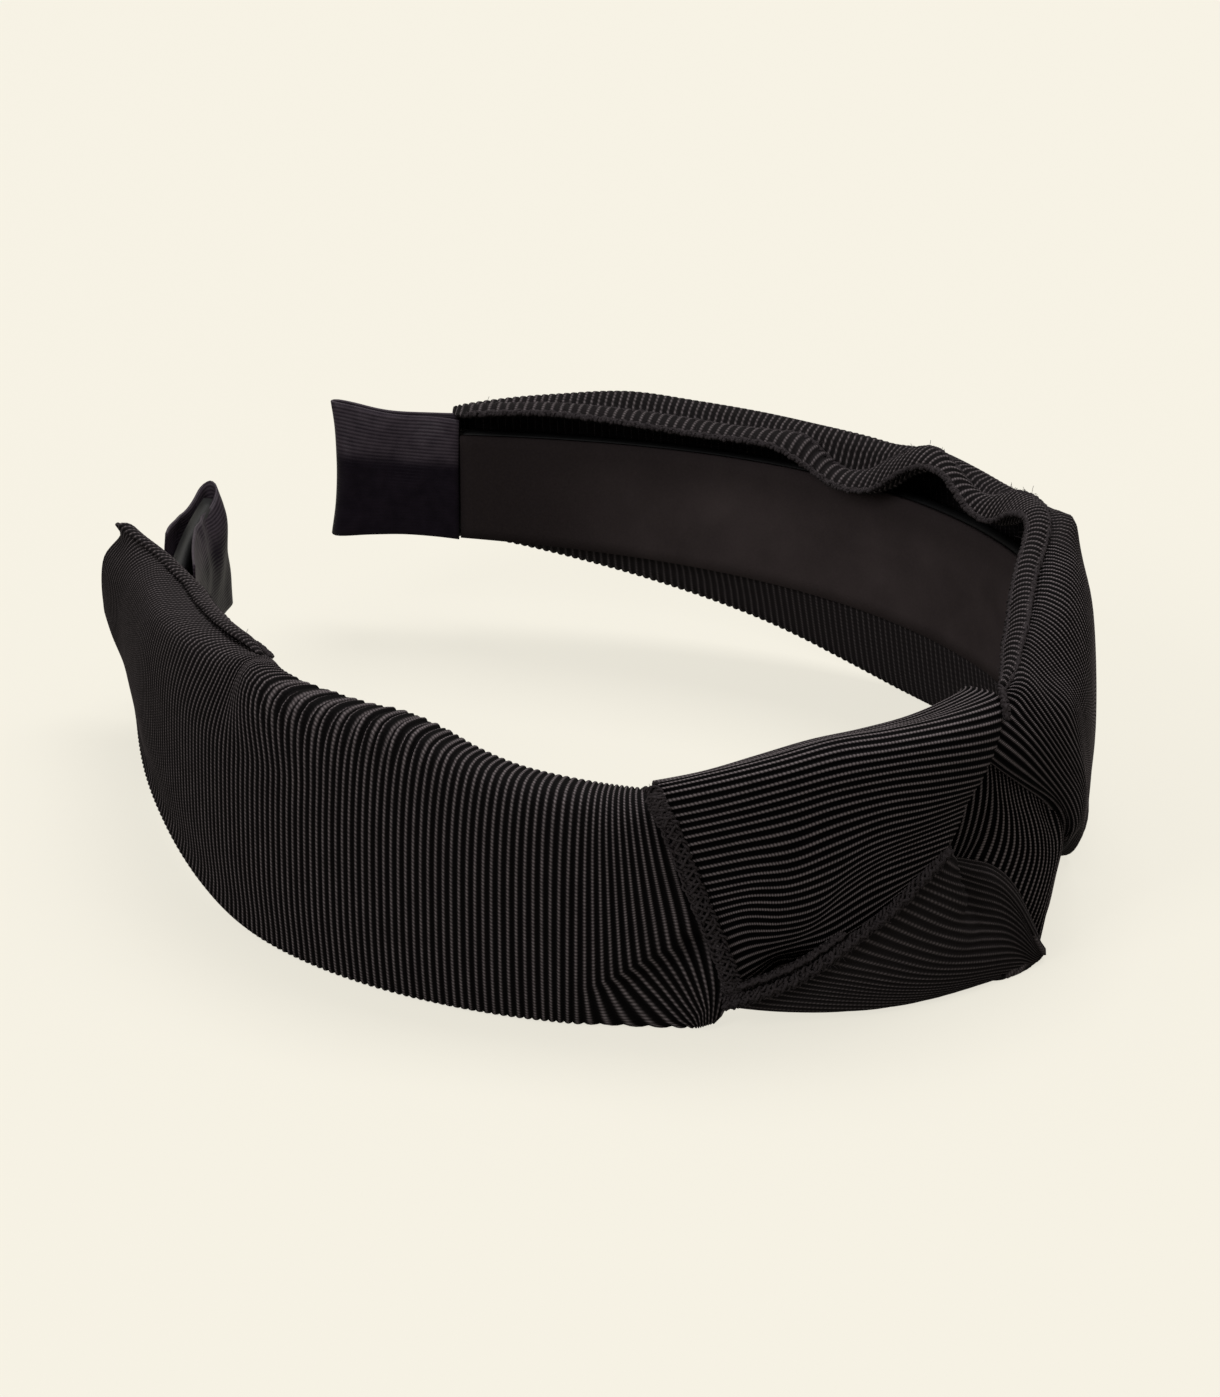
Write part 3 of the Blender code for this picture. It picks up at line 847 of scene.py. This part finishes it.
# The tuck's crease, from (s, h) to (s, h). The cloth sinks below it and swells above it.
CREASE_LEFT, CREASE_RIGHT = np.array([-53.0, -13.5]), np.array([-40.5, -5.6])
TUCK_DEPTH, TUCK_SWELL, TUCK_REACH = 1.3, 0.35, 9.0

# The pinch on the upper edge, and the gathers between it and the knot.
PINCH, PINCH_REACH, PINCH_PULL, PINCH_DEPTH = -112.0, 12.0, 0.62, 0.9
GATHER_PITCH, GATHER_DEPTH, GATHER_HEIGHT = 1.9, 0.3, 0.7


def left_cover_shape(places):
    """The tuck near the knot, and the gathers that run from the pinch on the upper edge."""
    s, n, h = np.moveaxis(places, -1, 0)
    line = CREASE_RIGHT - CREASE_LEFT
    below = ((s - CREASE_LEFT[0]) * line[1] - (h - CREASE_LEFT[1]) * line[0]) / np.hypot(*line)
    near = smooth_step(CREASE_LEFT[0] - 3, CREASE_LEFT[0] + 5, s) * (n > 3.0)
    n = n - near * TUCK_DEPTH * smooth_step(-0.5, 0.5, below) * (1 - smooth_step(3.0, TUCK_REACH, below))
    n = n + near * TUCK_SWELL * smooth_step(-5.0, -0.4, below) * (below < 0)
    slack = np.clip(below, 0, TUCK_REACH)
    s = s + near * (0.7 * slack + 0.02 * slack ** 2) * (1 - smooth_step(-51, -36.5, s))

    away = s - PINCH
    high = smooth_step(7.0, 18.5, h)
    s = s - away * PINCH_PULL * np.exp(-(away / PINCH_REACH) ** 2) * high
    h = h - 0.5 * np.exp(-(away / 3.0) ** 2) * high
    n = n - PINCH_DEPTH * np.exp(-(away / 4.0) ** 2) * high

    gathered = smooth_step(-107, -103, s) * (1 - smooth_step(-84, -62, s)) * smooth_step(11.0, 18.0, h)
    ripple = np.abs(np.sin(math.pi * s / GATHER_PITCH))
    n = n + GATHER_DEPTH * (ripple - 0.5) * gathered
    h = h + GATHER_HEIGHT * (ripple - 1.1) * gathered * smooth_step(14.5, 18.5, h)
    return np.stack([s, n, h], axis=-1)


def left_station(s):
    """A section of the left cover, whose crest stays outside its lip."""
    top, full, lip = LEFT_TOP(s), LEFT_FULL(s), LEFT_LIP(s)
    crest = max(1 + full * 0.25, lip + 2.2)
    return arm_section(s, (lip, top - 1.9), (lip + 1.2, top - 0.6), (crest, top), LEFT_BOTTOM(s),
                       max(full, crest + 0.8), bottom_n=4.8)


# The turned hem: its rows' places out from the lip and up from the cover's top.
HEM_PLACES = np.linspace(113.5, 184.5, 18)
HEM_ROWS = ((-0.4, -1.8), (-0.1, -0.7), (0.5, 0.0), (1.2, 0.4), (1.9, 0.5), (2.4, 0.2))


def hem_row(out, rise):
    """One row along the hem, which narrows towards its knot end."""
    row = []
    for s in HEM_PLACES:
        opening = smooth_step(110, 124, s)
        n = LEFT_LIP(s) + out * opening + 1.2 * (1 - opening)
        row.append((-s, n, LEFT_TOP(s) + (rise + 0.6) * opening - 0.6))
    return row


def make_left_cover():
    """The left arm's cover, with the hem that is turned over its upper edge and sewn down."""
    stations = LEFT_KNOT_STATIONS + [left_station(s) for s in LEFT_ARM_STATIONS]
    # Painted rib shade on the cover deepens towards the tip, and lies all over the hem.
    cover = ribbed_sheet("left_cover", section_net(-1, stations), shape=left_cover_shape,
                         rib_shade=fading(0.12, 0.5, 0.5, 0.85, 0))
    hem = ribbed_sheet("left_hem_strip", [hem_row(*row) for row in HEM_ROWS], facing="up", thick=0.4,
                       pitch=1.5, relief=0.5, rib_shade=evenly(0.5))
    edge = [(-s, LEFT_LIP(s) - 0.4, LEFT_TOP(s) - 1.2) for s in HEM_PLACES]
    hem_threads = overlock(edge, 0.8, ups=UPWARDS, edges=(0,), seed=5, lift=0.4, fuzz=0.3)
    yarn = thread_piece("left_hem_threads", hem_threads)
    stand_for(-1, {"left_drape": cover, "left_hem": hem, "left_overlock_yarn": yarn})


# ---- right cover, from the knot to the tip

# The strip that folds in over the cover's upper edge: (n, h) of its inner and outer edges.
STRIP_INNER = profile([
    (5, 4.6, 21), (14, -1.5, 21.2), (25, -5.6, 21.4), (36, -7.6, 22.5), (45, -7.3, 23.8), (54, -6.1, 24.3),
    (60, -5.8, 23.7), (68, -6, 20.9), (74, -6, 17.7), (78, -6, 16.3), (83, -6, 16.2), (87, -6, 17.8),
    (91, -5.8, 19.2), (96, -6, 18.8), (101, -6, 16.4), (105, -6, 13.3), (108, -6, 11.6), (112, -6, 10.7),
    (116, -6, 10.9), (121, -6, 12.8), (127, -6, 14.5), (139, -6, 14), (148, -6, 14.1), (156, -6, 14.4),
    (165, -6, 14.5), (172, -6, 14), (178.5, -5.6, 13.2), (181, 0.1, 10.9)])
STRIP_OUTER = profile([
    (6, 5, 20.4), (14.5, 0.8, 22.2), (26, -3, 23), (37, -4.8, 23.2), (46, -4.4, 23.4), (54, -3.1, 24),
    (60, -2.5, 24), (66, -2.2, 23.2), (70, -2.2, 22.4), (75, -2.2, 21), (78, -2, 19.6), (83, -2, 17.2),
    (87, -2, 16.6), (90, -2, 17.4), (94, -2, 19.3), (97, -2, 20), (101, -2, 19), (104, -2, 17),
    (108, -2, 14.6), (111, -2, 12.4), (116, -2, 11.4), (119, -2, 12.8), (123, -2, 15.1), (127, -2, 14.9),
    (135, -2, 14.2), (144, -2, 14.2), (154, -2, 14.3), (165, -2, 14.1), (173, -2, 13.4), (178.5, -2, 12.8),
    (181, 2.6, 11.4)])

# Heights of the right cover's upper and lower edges, and how far out it reaches.
RIGHT_TOP = profile([
    (60, 22.9), (66, 21), (72, 19.3), (78, 18.7), (84, 18), (90, 17.8), (96, 18.2), (102, 18), (108, 16.6),
    (115, 16.2), (143, 16.2), (154, 16.3), (160, 15.5), (166, 14.6), (172, 13.6), (177, 12.9), (181, 10.8)])
RIGHT_BOTTOM = profile([
    (60, -22.6), (70, -23), (80, -24), (92, -24.6), (100, -24.2), (106, -23.4), (116, -21.6), (130, -18.2),
    (148, -14.6), (165, -11.6), (178, -9.6)])
RIGHT_FULL = profile([
    (60, 3.9), (66, 4.8), (72, 5.6), (80, 6.3), (92, 6.9), (104, 7), (116, 6.8), (130, 6.5), (148, 6),
    (165, 5.6), (181, 5)])

# Ribs of the wrap over the knot's right side: each from its inner edge, over the top, outwards and down.
RIGHT_KNOT_RIBS = [
    [(-6.3, 3, 17.6), (-4.9, 3.8, 16.8), (-2.8, 5, 15.6), (-1.2, 6.2, 14), (2.2, 6.8, 10.4),
     (6.4, 6.8, 6.4), (10.8, 6.8, 2.3), (13.8, 6.5, -1.2), (16.4, 5.6, -4.8), (19.2, 3.6, -8.9),
     (22, 1.4, -12.4)],
    [(-6, 4.6, 18.2), (-4.5, 5.6, 17.6), (-2.4, 7, 16.4), (-0.6, 8, 14.6), (2.8, 8.6, 11), (7, 8.8, 7),
     (11.4, 8.8, 2.9), (14.4, 8.5, -0.6), (16.9, 7.5, -4.3), (19.6, 5.4, -8.4), (22.4, 3, -12)],
    [(-2.4, 4.6, 18.8), (-0.9, 5.6, 18.6), (0.8, 7, 17.6), (2, 8.3, 16.4), (4.9, 9.3, 12.9),
     (8.9, 9.8, 7.4), (13.3, 9.6, 1.4), (16.4, 8.8, -3.6), (19.2, 6.4, -7.8), (22.4, 3.9, -11.3),
     (25.4, 1.4, -14)],
    [(2.2, 4.4, 19.4), (3.8, 5.4, 20), (5.2, 6.6, 19.4), (6, 8, 17.4), (8, 9.4, 13.6), (12, 9.9, 7.2),
     (16.8, 9.3, 0.7), (20.4, 7.8, -5), (23.6, 5.1, -9.4), (26.6, 2.7, -13.2), (29.4, 0.1, -16)],
    [(6, 4.2, 20), (7.4, 4.8, 21), (8.8, 5.8, 20.6), (9.8, 7.6, 18), (12, 9.2, 13.2), (16.9, 9.2, 5.3),
     (21.8, 7.6, -2), (26, 5.6, -8.5), (30, 3.6, -13.8), (33, 1.4, -17.4), (35.5, -1.6, -19)],
    [(11, 0.9, 20.2), (12.2, 1.8, 21.5), (13.1, 3, 20.9), (13.9, 5.3, 18.4), (15.8, 8, 14.4),
     (19.8, 7.9, 5.8), (25, 6.2, -3), (30.5, 4.6, -10.5), (34.5, 2.6, -15.8), (37.5, 0.2, -19.2),
     (39.5, -2.6, -18.6)],
    [(19, -2.8, 20.6), (19.6, -1.2, 22), (20.1, 0.6, 21.4), (20.8, 3.3, 18.4), (22.2, 6.2, 12.8),
     (25.6, 6, 2.4), (31, 4.6, -7), (36, 3.1, -14), (39, 0.8, -19.6), (41, -1.6, -20.4), (42, -2.8, -14)],
    [(29, -5.6, 21), (29.5, -3.4, 22.3), (29.7, -1, 22), (30.1, 1.8, 19.6), (31.2, 4.3, 12), (34, 4.2, -2),
     (38, 3, -12), (41, 1, -20.4), (43, -1.4, -22), (44, -2.8, -16.5), (44.5, -2.9, -12)],
    [(40, -6.6, 21.4), (40, -4.2, 22.7), (40, -1.8, 22.6), (40.1, 0.8, 20.4), (40.6, 3, 13),
     (41.6, 3.5, -3.5), (43, 2.2, -13.5), (44.5, 0, -21.6), (45.5, -1.8, -22.4), (46, -2.8, -16),
     (46.5, -2.9, -11.8)],
    [(50, -6, 22.6), (50, -3.8, 23.2), (50, -1.6, 22.8), (50, 0.8, 20.6), (50.1, 2.9, 13), (50.4, 3.6, -4),
     (50.7, 2.4, -14), (51, 0, -22), (51.3, -1.8, -22.8), (51.5, -2.8, -16.5), (51.5, -2.6, -11.8)],
]
RIGHT_ARM_STATIONS = (60, 66, 72, 78, 83, 88, 94, 100, 105, 110, 115, 120, 125, 133, 143, 154, 165, 172,
                      178.5, 181)
STRIP_PLACES = np.concatenate([np.arange(5, 60, 5), np.arange(60, 178, 2.5)])

# Across the strip: the part of its width, and how high it is there over its edges' line.
STRIP_ROWS = ((0.0, -0.2), (0.25, 0.35), (0.5, 0.55), (0.75, 0.45), (1.0, 0.0))
STRIP_LIFT = 0.35

# The strip's inner seam starts beside the front wrap, outside the strip's own end.
SEAM_START = [(2.2, 8.2, 18.6), (3.0, 7.0, 20.4)]


def right_station(s):
    """A section of the right cover, whose upper edge lies just under the folded strip."""
    (inner_n, inner_h), (outer_n, outer_h) = STRIP_INNER(s), STRIP_OUTER(s)
    crest = max(1.2, outer_n + 0.4)
    return arm_section(s, (inner_n + 2.3, inner_h - 0.9), (outer_n, outer_h - 0.8), (crest, RIGHT_TOP(s)),
                       RIGHT_BOTTOM(s), RIGHT_FULL(s), bottom_n=np.interp(s, [60, 80], [0.8, 3.0]),
                       shoulder=np.interp(s, [60, 80], [0.6, 0.8]))


def strip_row(part, rise):
    """One row along the folded strip, at a part of its width."""
    row = []
    for s in STRIP_PLACES:
        inner, outer = STRIP_INNER(s), STRIP_OUTER(s)
        n, h = inner + (outer - inner) * part
        row.append((s, n, h + rise + STRIP_LIFT))
    return row


def strip_edge(edge, rise):
    """The line of a seam along one edge of the strip."""
    return [(s, edge(s)[0], edge(s)[1] + rise) for s in STRIP_PLACES]


def make_right_cover():
    """One cloth from the knot to the tip, in two pieces that meet in the groove of a rib."""
    stations = RIGHT_KNOT_RIBS + [right_station(s) for s in RIGHT_ARM_STATIONS]
    net = section_net(1, stations)
    border = (len(RIGHT_KNOT_RIBS) - 1) / (len(stations) - 1)
    # Painted rib shade: strongest on the lower inner band facing into the hoop, lighter over the rest of
    # the cover, and on the strip rising towards the tip.
    wrap = ribbed_sheet("right_wrap", net, span=(0.0, border), measured=(0.25, 0.6),
                        rib_shade=fading(0.0, 0.9, 0.76, 0.86, 1))
    cover = ribbed_sheet("right_cover", net, span=(border, 1.0), rib_shade=fading(0.5, 0.5, 0.76, 0.86, 1))
    strip = ribbed_sheet("right_strip", [strip_row(*row) for row in STRIP_ROWS], facing="up", pitch=1.4,
                         thick=0.45, relief=0.4, rib_shade=fading(0.3, 0.3, 0.35, 0.6, 0))
    inner_seam = overlock(SEAM_START + strip_edge(STRIP_INNER, 0.1), 0.9, ups=UPWARDS, edges=(0,), seed=11,
                          lift=0.4)
    inner_yarn = thread_piece("right_inner_threads", inner_seam)
    outer_seam = overlock(strip_edge(STRIP_OUTER, 0.25), 0.6, ups=UPWARDS, edges=(0,), seed=12, lift=0.3)
    outer_yarn = thread_piece("right_outer_threads", outer_seam)
    stand_for(1, {"knot_right_wrap": wrap, "right_drape": cover, "right_seam_allowance": strip,
                  "right_overlock_yarn": inner_yarn, "right_seam_yarn": outer_yarn})


# ---- knot

# Rows of the front wrap follow its ribs, from the sewn diagonal up, over the top and down inside.
FRONT_WRAP_ROWS = [
    [(-34.6, 5.6, -17), (-31.4, 4.6, -15.6), (-28.4, 4, -14.9), (-25.2, 4.2, -13.6), (-21.6, 5.4, -11.9),
     (-17.7, 6.4, -9.6), (-12.6, 7.4, -7), (-8.2, 7.4, -3.5), (-6.6, 5.6, -3)],
    [(-35.2, 7, -14.4), (-32.4, 5.6, -12.9), (-29.4, 3.6, -12), (-26.4, 4.2, -11.6), (-22.8, 6.4, -9.6),
     (-18.8, 7.8, -7.2), (-13.6, 8.6, -4.2), (-8.2, 8.8, -1), (-6.6, 6.6, -0.8)],
    [(-36, 7.8, -11.2), (-33.4, 7.4, -10), (-30.4, 6.6, -9.2), (-27.6, 6.8, -8.6), (-24.2, 7.9, -7.6),
     (-19.8, 8.8, -5), (-14.6, 9.3, -1.8), (-8.7, 9.3, 1.6), (-7.2, 7, 1.2)],
    [(-37.8, 8, -4.2), (-34.3, 8.4, -3), (-29.9, 8.6, -3.4), (-25.8, 9, -2.6), (-22, 9.6, 0.4),
     (-17.4, 10, 2.8), (-8.9, 9.7, 3.6), (-7.5, 8.6, 3), (-6.9, 6.4, 2.6)],
    [(-39.8, 8, 2.6), (-34, 8.8, 4), (-28.8, 9.3, 4.4), (-23.4, 10, 6.4), (-18.4, 10.5, 8.2),
     (-12.8, 10.5, 8.6), (-5.8, 9.2, 8.3), (-4.6, 7.8, 7.6), (-4.4, 5.8, 7.2)],
    [(-42, 8, 8.7), (-35.8, 8.8, 10.4), (-29.4, 9.4, 11.8), (-23.4, 10, 13.4), (-17.1, 10.5, 14),
     (-10.9, 10.5, 13.3), (-3.3, 9.2, 11.7), (-2, 7.8, 11.2), (-1.8, 5.8, 10.9)],
    [(-43.6, 7.5, 12.8), (-37, 8.3, 14.6), (-30, 8.9, 16.4), (-23.2, 9.5, 17.8), (-16.8, 9.9, 18),
     (-10.2, 10, 17.4), (-1, 8.9, 15.4), (0.3, 7.6, 15), (0.4, 5.6, 14.8)],
    [(-44.5, 6.6, 15.4), (-37.5, 7.2, 17.2), (-30.3, 7.8, 18.9), (-22.9, 8.2, 20.3), (-16.2, 8.6, 20.2),
     (-9, 8.8, 19.7), (0.6, 8.1, 18.2), (2, 6.8, 18), (2.2, 5, 17.6)],
    [(-45, 4.6, 16.2), (-37.8, 4.9, 17.9), (-30.3, 5.2, 19.6), (-22.6, 5.4, 21), (-15, 5.6, 20.8),
     (-7, 6, 20.5), (2.4, 6.2, 20.1), (3.8, 5.2, 19.9), (4, 3.6, 19.4)],
    [(-45.4, 1.4, 15), (-38, 1.4, 16.3), (-30.4, 1.5, 18), (-22.6, 1.6, 19.3), (-14.8, 1.8, 19.3),
     (-6.4, 2.2, 19.3), (2.8, 2.8, 20), (4.2, 2.2, 20), (4.6, 1.2, 19.6)],
    [(-45.8, -3, 12.6), (-38.2, -3.2, 13.9), (-30.4, -3.2, 15.6), (-22.6, -3.2, 16.8), (-14.6, -3.1, 17),
     (-6, -2.8, 17.2), (3.2, -2.4, 18), (4.8, -2.5, 18.2), (5.6, -3, 18)],
    [(-46, -4, 8), (-38.2, -4.1, 8.8), (-30.4, -4.1, 9.8), (-22.6, -4.1, 10.6), (-14.6, -4.1, 11),
     (-6, -4, 11.4), (3.4, -4, 11.8), (5, -4.1, 11.8), (6, -4.3, 11.8)],
]

# Rows of the lower strand follow its ribs, from its folded upper edge down, under the hoop and up inside.
LOWER_STRAND_ROWS = [
    [(-8.8, 6.4, 3.2), (-7.6, 7.4, 2.2), (-6.6, 7.6, 0.8), (-5.4, 6.6, -0.6), (-3, 6, -1.8),
     (0.6, 6.8, -3.6), (3.6, 7.2, -6.4), (6.8, 7, -11), (9.8, 6.4, -16.4), (12, 3.6, -19.4)],
    [(-9, 8.1, 3), (-8.2, 9.6, 2.2), (-7, 9.9, 0.2), (-6.1, 7.5, -1.2), (-3.4, 7.7, -2.9), (-0.4, 9, -4.6),
     (2.9, 9.3, -8.5), (5.9, 9.3, -13.6), (9.2, 8.9, -19.8), (11, 5.8, -20.8)],
    [(-11, 8.1, 1.4), (-9.6, 9.5, -0.2), (-6.6, 10, -2.4), (-5.7, 7.7, -3.4), (-3.1, 7.9, -4.9),
     (0.2, 9.4, -7), (3.2, 9.6, -10.8), (6.2, 9.4, -15.8), (9.4, 8.9, -20.6), (11, 5.8, -21.2)],
    [(-13.6, 8.1, -0.6), (-11.4, 9.4, -2.2), (-5.8, 10, -6.2), (-4.8, 8.2, -7.1), (-2.7, 8.2, -8.2),
     (0.6, 9.5, -9.9), (3.8, 9.8, -13.3), (6.6, 9.5, -17.6), (9.5, 8.8, -21.1), (11, 5.8, -21.6)],
    [(-17, 8, -3.4), (-14.6, 9.3, -5), (-9.4, 9.7, -8.9), (-5.2, 9.7, -11.4), (-2, 9.2, -12.6),
     (1.5, 9.6, -14), (4.4, 9.7, -16.6), (7.2, 9.5, -19.8), (9.7, 8.5, -21.7), (11.2, 5.6, -22)],
    [(-21.6, 7.6, -6.8), (-19.2, 8.9, -8.4), (-14.2, 9.3, -11.6), (-8.8, 9.4, -14.6), (-3.4, 9.5, -16.4),
     (1.6, 9.5, -17.8), (4.8, 9.4, -19.2), (7.6, 9.3, -21.3), (9.9, 8, -22.2), (11.3, 5.2, -22.4)],
    [(-27, 7, -10.8), (-24.6, 8.5, -11.9), (-19.6, 9, -13.9), (-13.7, 9.1, -16.4), (-7.4, 9.1, -18.3),
     (-1.2, 9.1, -19.6), (4, 9.1, -21.1), (7.6, 8.7, -22.3), (10, 7.4, -22.7), (11.4, 4.8, -22.8)],
    [(-32.4, 6.4, -13.6), (-30, 7.8, -14.6), (-25.2, 8.3, -16), (-19.5, 8.6, -17.6), (-13.4, 8.8, -19.2),
     (-7.2, 8.7, -20.4), (-1.2, 8.6, -21.2), (4.4, 9.1, -22.3), (8.8, 8.3, -23), (11, 5.6, -23)],
    [(-37, 5.8, -16.2), (-34.6, 6.8, -16.8), (-29, 7.4, -17.9), (-23, 7.6, -19.1), (-16.5, 7.6, -20.3),
     (-10, 7.4, -21.2), (-4, 7.2, -21.9), (2.5, 8, -22.8), (7.2, 7.3, -23.2), (9.8, 5.2, -23.2)],
    [(-37, 3, -17.6), (-34.7, 3.4, -18), (-29, 3.6, -19.2), (-23, 3.6, -20.3), (-16.5, 3.4, -21.3),
     (-10, 3.4, -22), (-4, 3.4, -22.4), (2.5, 3.2, -22.9), (6.8, 2.8, -23), (9.4, 2, -22.8)],
    [(-37, -1.6, -14.6), (-34.7, -1.8, -15.4), (-29, -2, -16.4), (-23, -2.4, -17.4), (-16.5, -2.8, -18.2),
     (-10, -2.8, -18.6), (-4, -2.8, -18.8), (2.5, -2.6, -18.8), (6.6, -2.4, -18.8), (9.2, -2.2, -18.8)],
    [(-37, -2.9, -10.6), (-34.7, -2.9, -10.7), (-29, -3, -10.8), (-23, -3.1, -10.8), (-16.5, -3.2, -10.8),
     (-10, -3.2, -10.8), (-4, -3.2, -10.8), (2.5, -3.2, -10.8), (6.6, -3.2, -10.8), (9.2, -3.2, -10.8)],
]

# Rows of the inner strand follow its ribs down, from left to right.
INNER_STRAND_ROWS = [
    [(-2, 3, 10.5), (-2, 3.2, 6), (-3, 3.4, 2), (-5, 3.8, -2), (-6.5, 4, -5), (-7, 4, -8)],
    [(2, 4.6, 11.5), (1.8, 5, 7), (1.2, 5, 3), (-0.4, 5.2, -0.5), (-2.6, 5.5, -3), (-3.4, 4.8, -6.5)],
    [(2.6, 5, 11.5), (2.7, 5.6, 7.5), (2.4, 6, 3.5), (1.4, 6, -0.2), (-0.8, 6.2, -3.6), (-1.6, 5.4, -7.5)],
    [(4.2, 5.4, 10), (3.9, 6.5, 6.2), (4.2, 7, 2), (3.9, 7, -2.2), (1.6, 7, -6.6), (0.8, 6, -10)],
    [(6.4, 5.6, 8.6), (6, 7, 4.5), (6.8, 7.7, 0), (7.4, 7.6, -4.5), (5.4, 7.6, -9), (4.6, 6.6, -13)],
    [(8.5, 5.8, 6.8), (8.3, 7.4, 2.8), (9.2, 8.2, -1.8), (9.7, 8.1, -6.6), (7.8, 7.8, -11.8),
     (6.8, 6.8, -15.5)],
    [(11.6, 6, 3.4), (11.3, 7.6, -0.4), (11.9, 8.5, -4.6), (11.9, 8.2, -9.2), (10, 7.8, -14.8),
     (8.9, 7, -18.4)],
    [(14.2, 6, 0.2), (14.6, 7.6, -2.8), (14.3, 8.1, -6.1), (13.2, 7.8, -10), (11.8, 7.6, -14.6),
     (10.6, 7.2, -20)],
    [(18.4, 3.6, -4), (17.9, 5, -7.2), (17.3, 5.5, -10.5), (16.1, 5.6, -14), (14.4, 5.4, -18),
     (12.6, 4, -21)],
    [(23, 0.6, -11), (22.2, 2.2, -13.5), (21, 2.8, -16), (19, 3, -18.5), (17, 2.6, -20.5),
     (14.5, 1.8, -21.5)],
]
LEFT_SEAM = [
    (-45.9, 4.4, 15), (-45.5, 6, 15.3), (-45, 7.1, 14.2), (-43.8, 8, 11.8), (-42.1, 8.4, 6.8),
    (-40.5, 8.5, 1.6), (-38.8, 8.5, -3.4), (-37.2, 8.3, -8.6), (-36, 8, -12.8), (-35.4, 7.6, -15.8)]
DIAGONAL_SEAM = [
    (-37, 7.8, -15.9), (-34.7, 8.4, -15.1), (-31.5, 8.9, -13.9), (-28.3, 9.2, -12.5), (-25, 9.4, -10.5),
    (-22.4, 9.6, -8.6), (-20, 9.7, -6.8), (-17.3, 9.8, -4.9), (-15.1, 9.8, -3.3), (-11.9, 9.8, -0.5),
    (-9.6, 9.6, 1.2), (-7.8, 9.2, 2.4)]

# The part of the diagonal seam over which a strip is turned up, and the strip's rows beside it.
TURNED_PART = DIAGONAL_SEAM[:6]
TURNED_ROWS = ((-1.4, 0.4), (-1.1, 0.8), (-1.0, 1.2), (-0.9, 1.7), (-1.2, 2.1))
TURNED_EDGE = (-0.3, 2.1)


def beside(seam, out, rise):
    """A seam's line, moved outwards and up."""
    return [(s, n + out, h + rise) for s, n, h in seam]


def make_knot():
    """Three strands, their seams and the strip that is turned up along the diagonal one."""
    # Painted rib shade lies heavily on the lower strand and the turned strip; the front wrap and inner
    # strand get brighter painted crest highlights.
    front = ribbed_sheet("front_wrap", FRONT_WRAP_ROWS, across="v", rib_shade=evenly(-0.35))
    lower = ribbed_sheet("lower_strand", LOWER_STRAND_ROWS, across="v", pitch=1.0, rib_shade=evenly(0.75))
    inner = ribbed_sheet("inner_strand", INNER_STRAND_ROWS, across="v", rib_shade=evenly(-0.6))
    left_seam = thread_piece("left_seam_threads", overlock(LEFT_SEAM, 2.0, seed=21, loop_radius=0.21))
    sewn = overlock(DIAGONAL_SEAM, 1.35, seed=22, lift=0.7, fuzz=3)
    sewn += overlock(beside(TURNED_PART, *TURNED_EDGE), 0.6, edges=(0,), seed=23)
    diagonal = thread_piece("diagonal_seam_threads", sewn)
    turned_net = [beside(TURNED_PART, *row) for row in TURNED_ROWS]
    turned = ribbed_sheet("diagonal_turned_strip", turned_net, pitch=0.95, thick=0.4, rib_shade=evenly(0.95))
    stand_for(-1, {"knot_front_wrap": front, "knot_lower_strand": lower, "left_seam_yarn": left_seam,
                   "diagonal_seam_yarn": diagonal})
    bends(turned, -1)
    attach(inner, "crown")
    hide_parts("knot_inner_strand")


make_camera()
make_floor()
make_lights()
make_hoop_and_lining()
make_tip_ribbons()
make_left_cover()
make_right_cover()
make_knot()
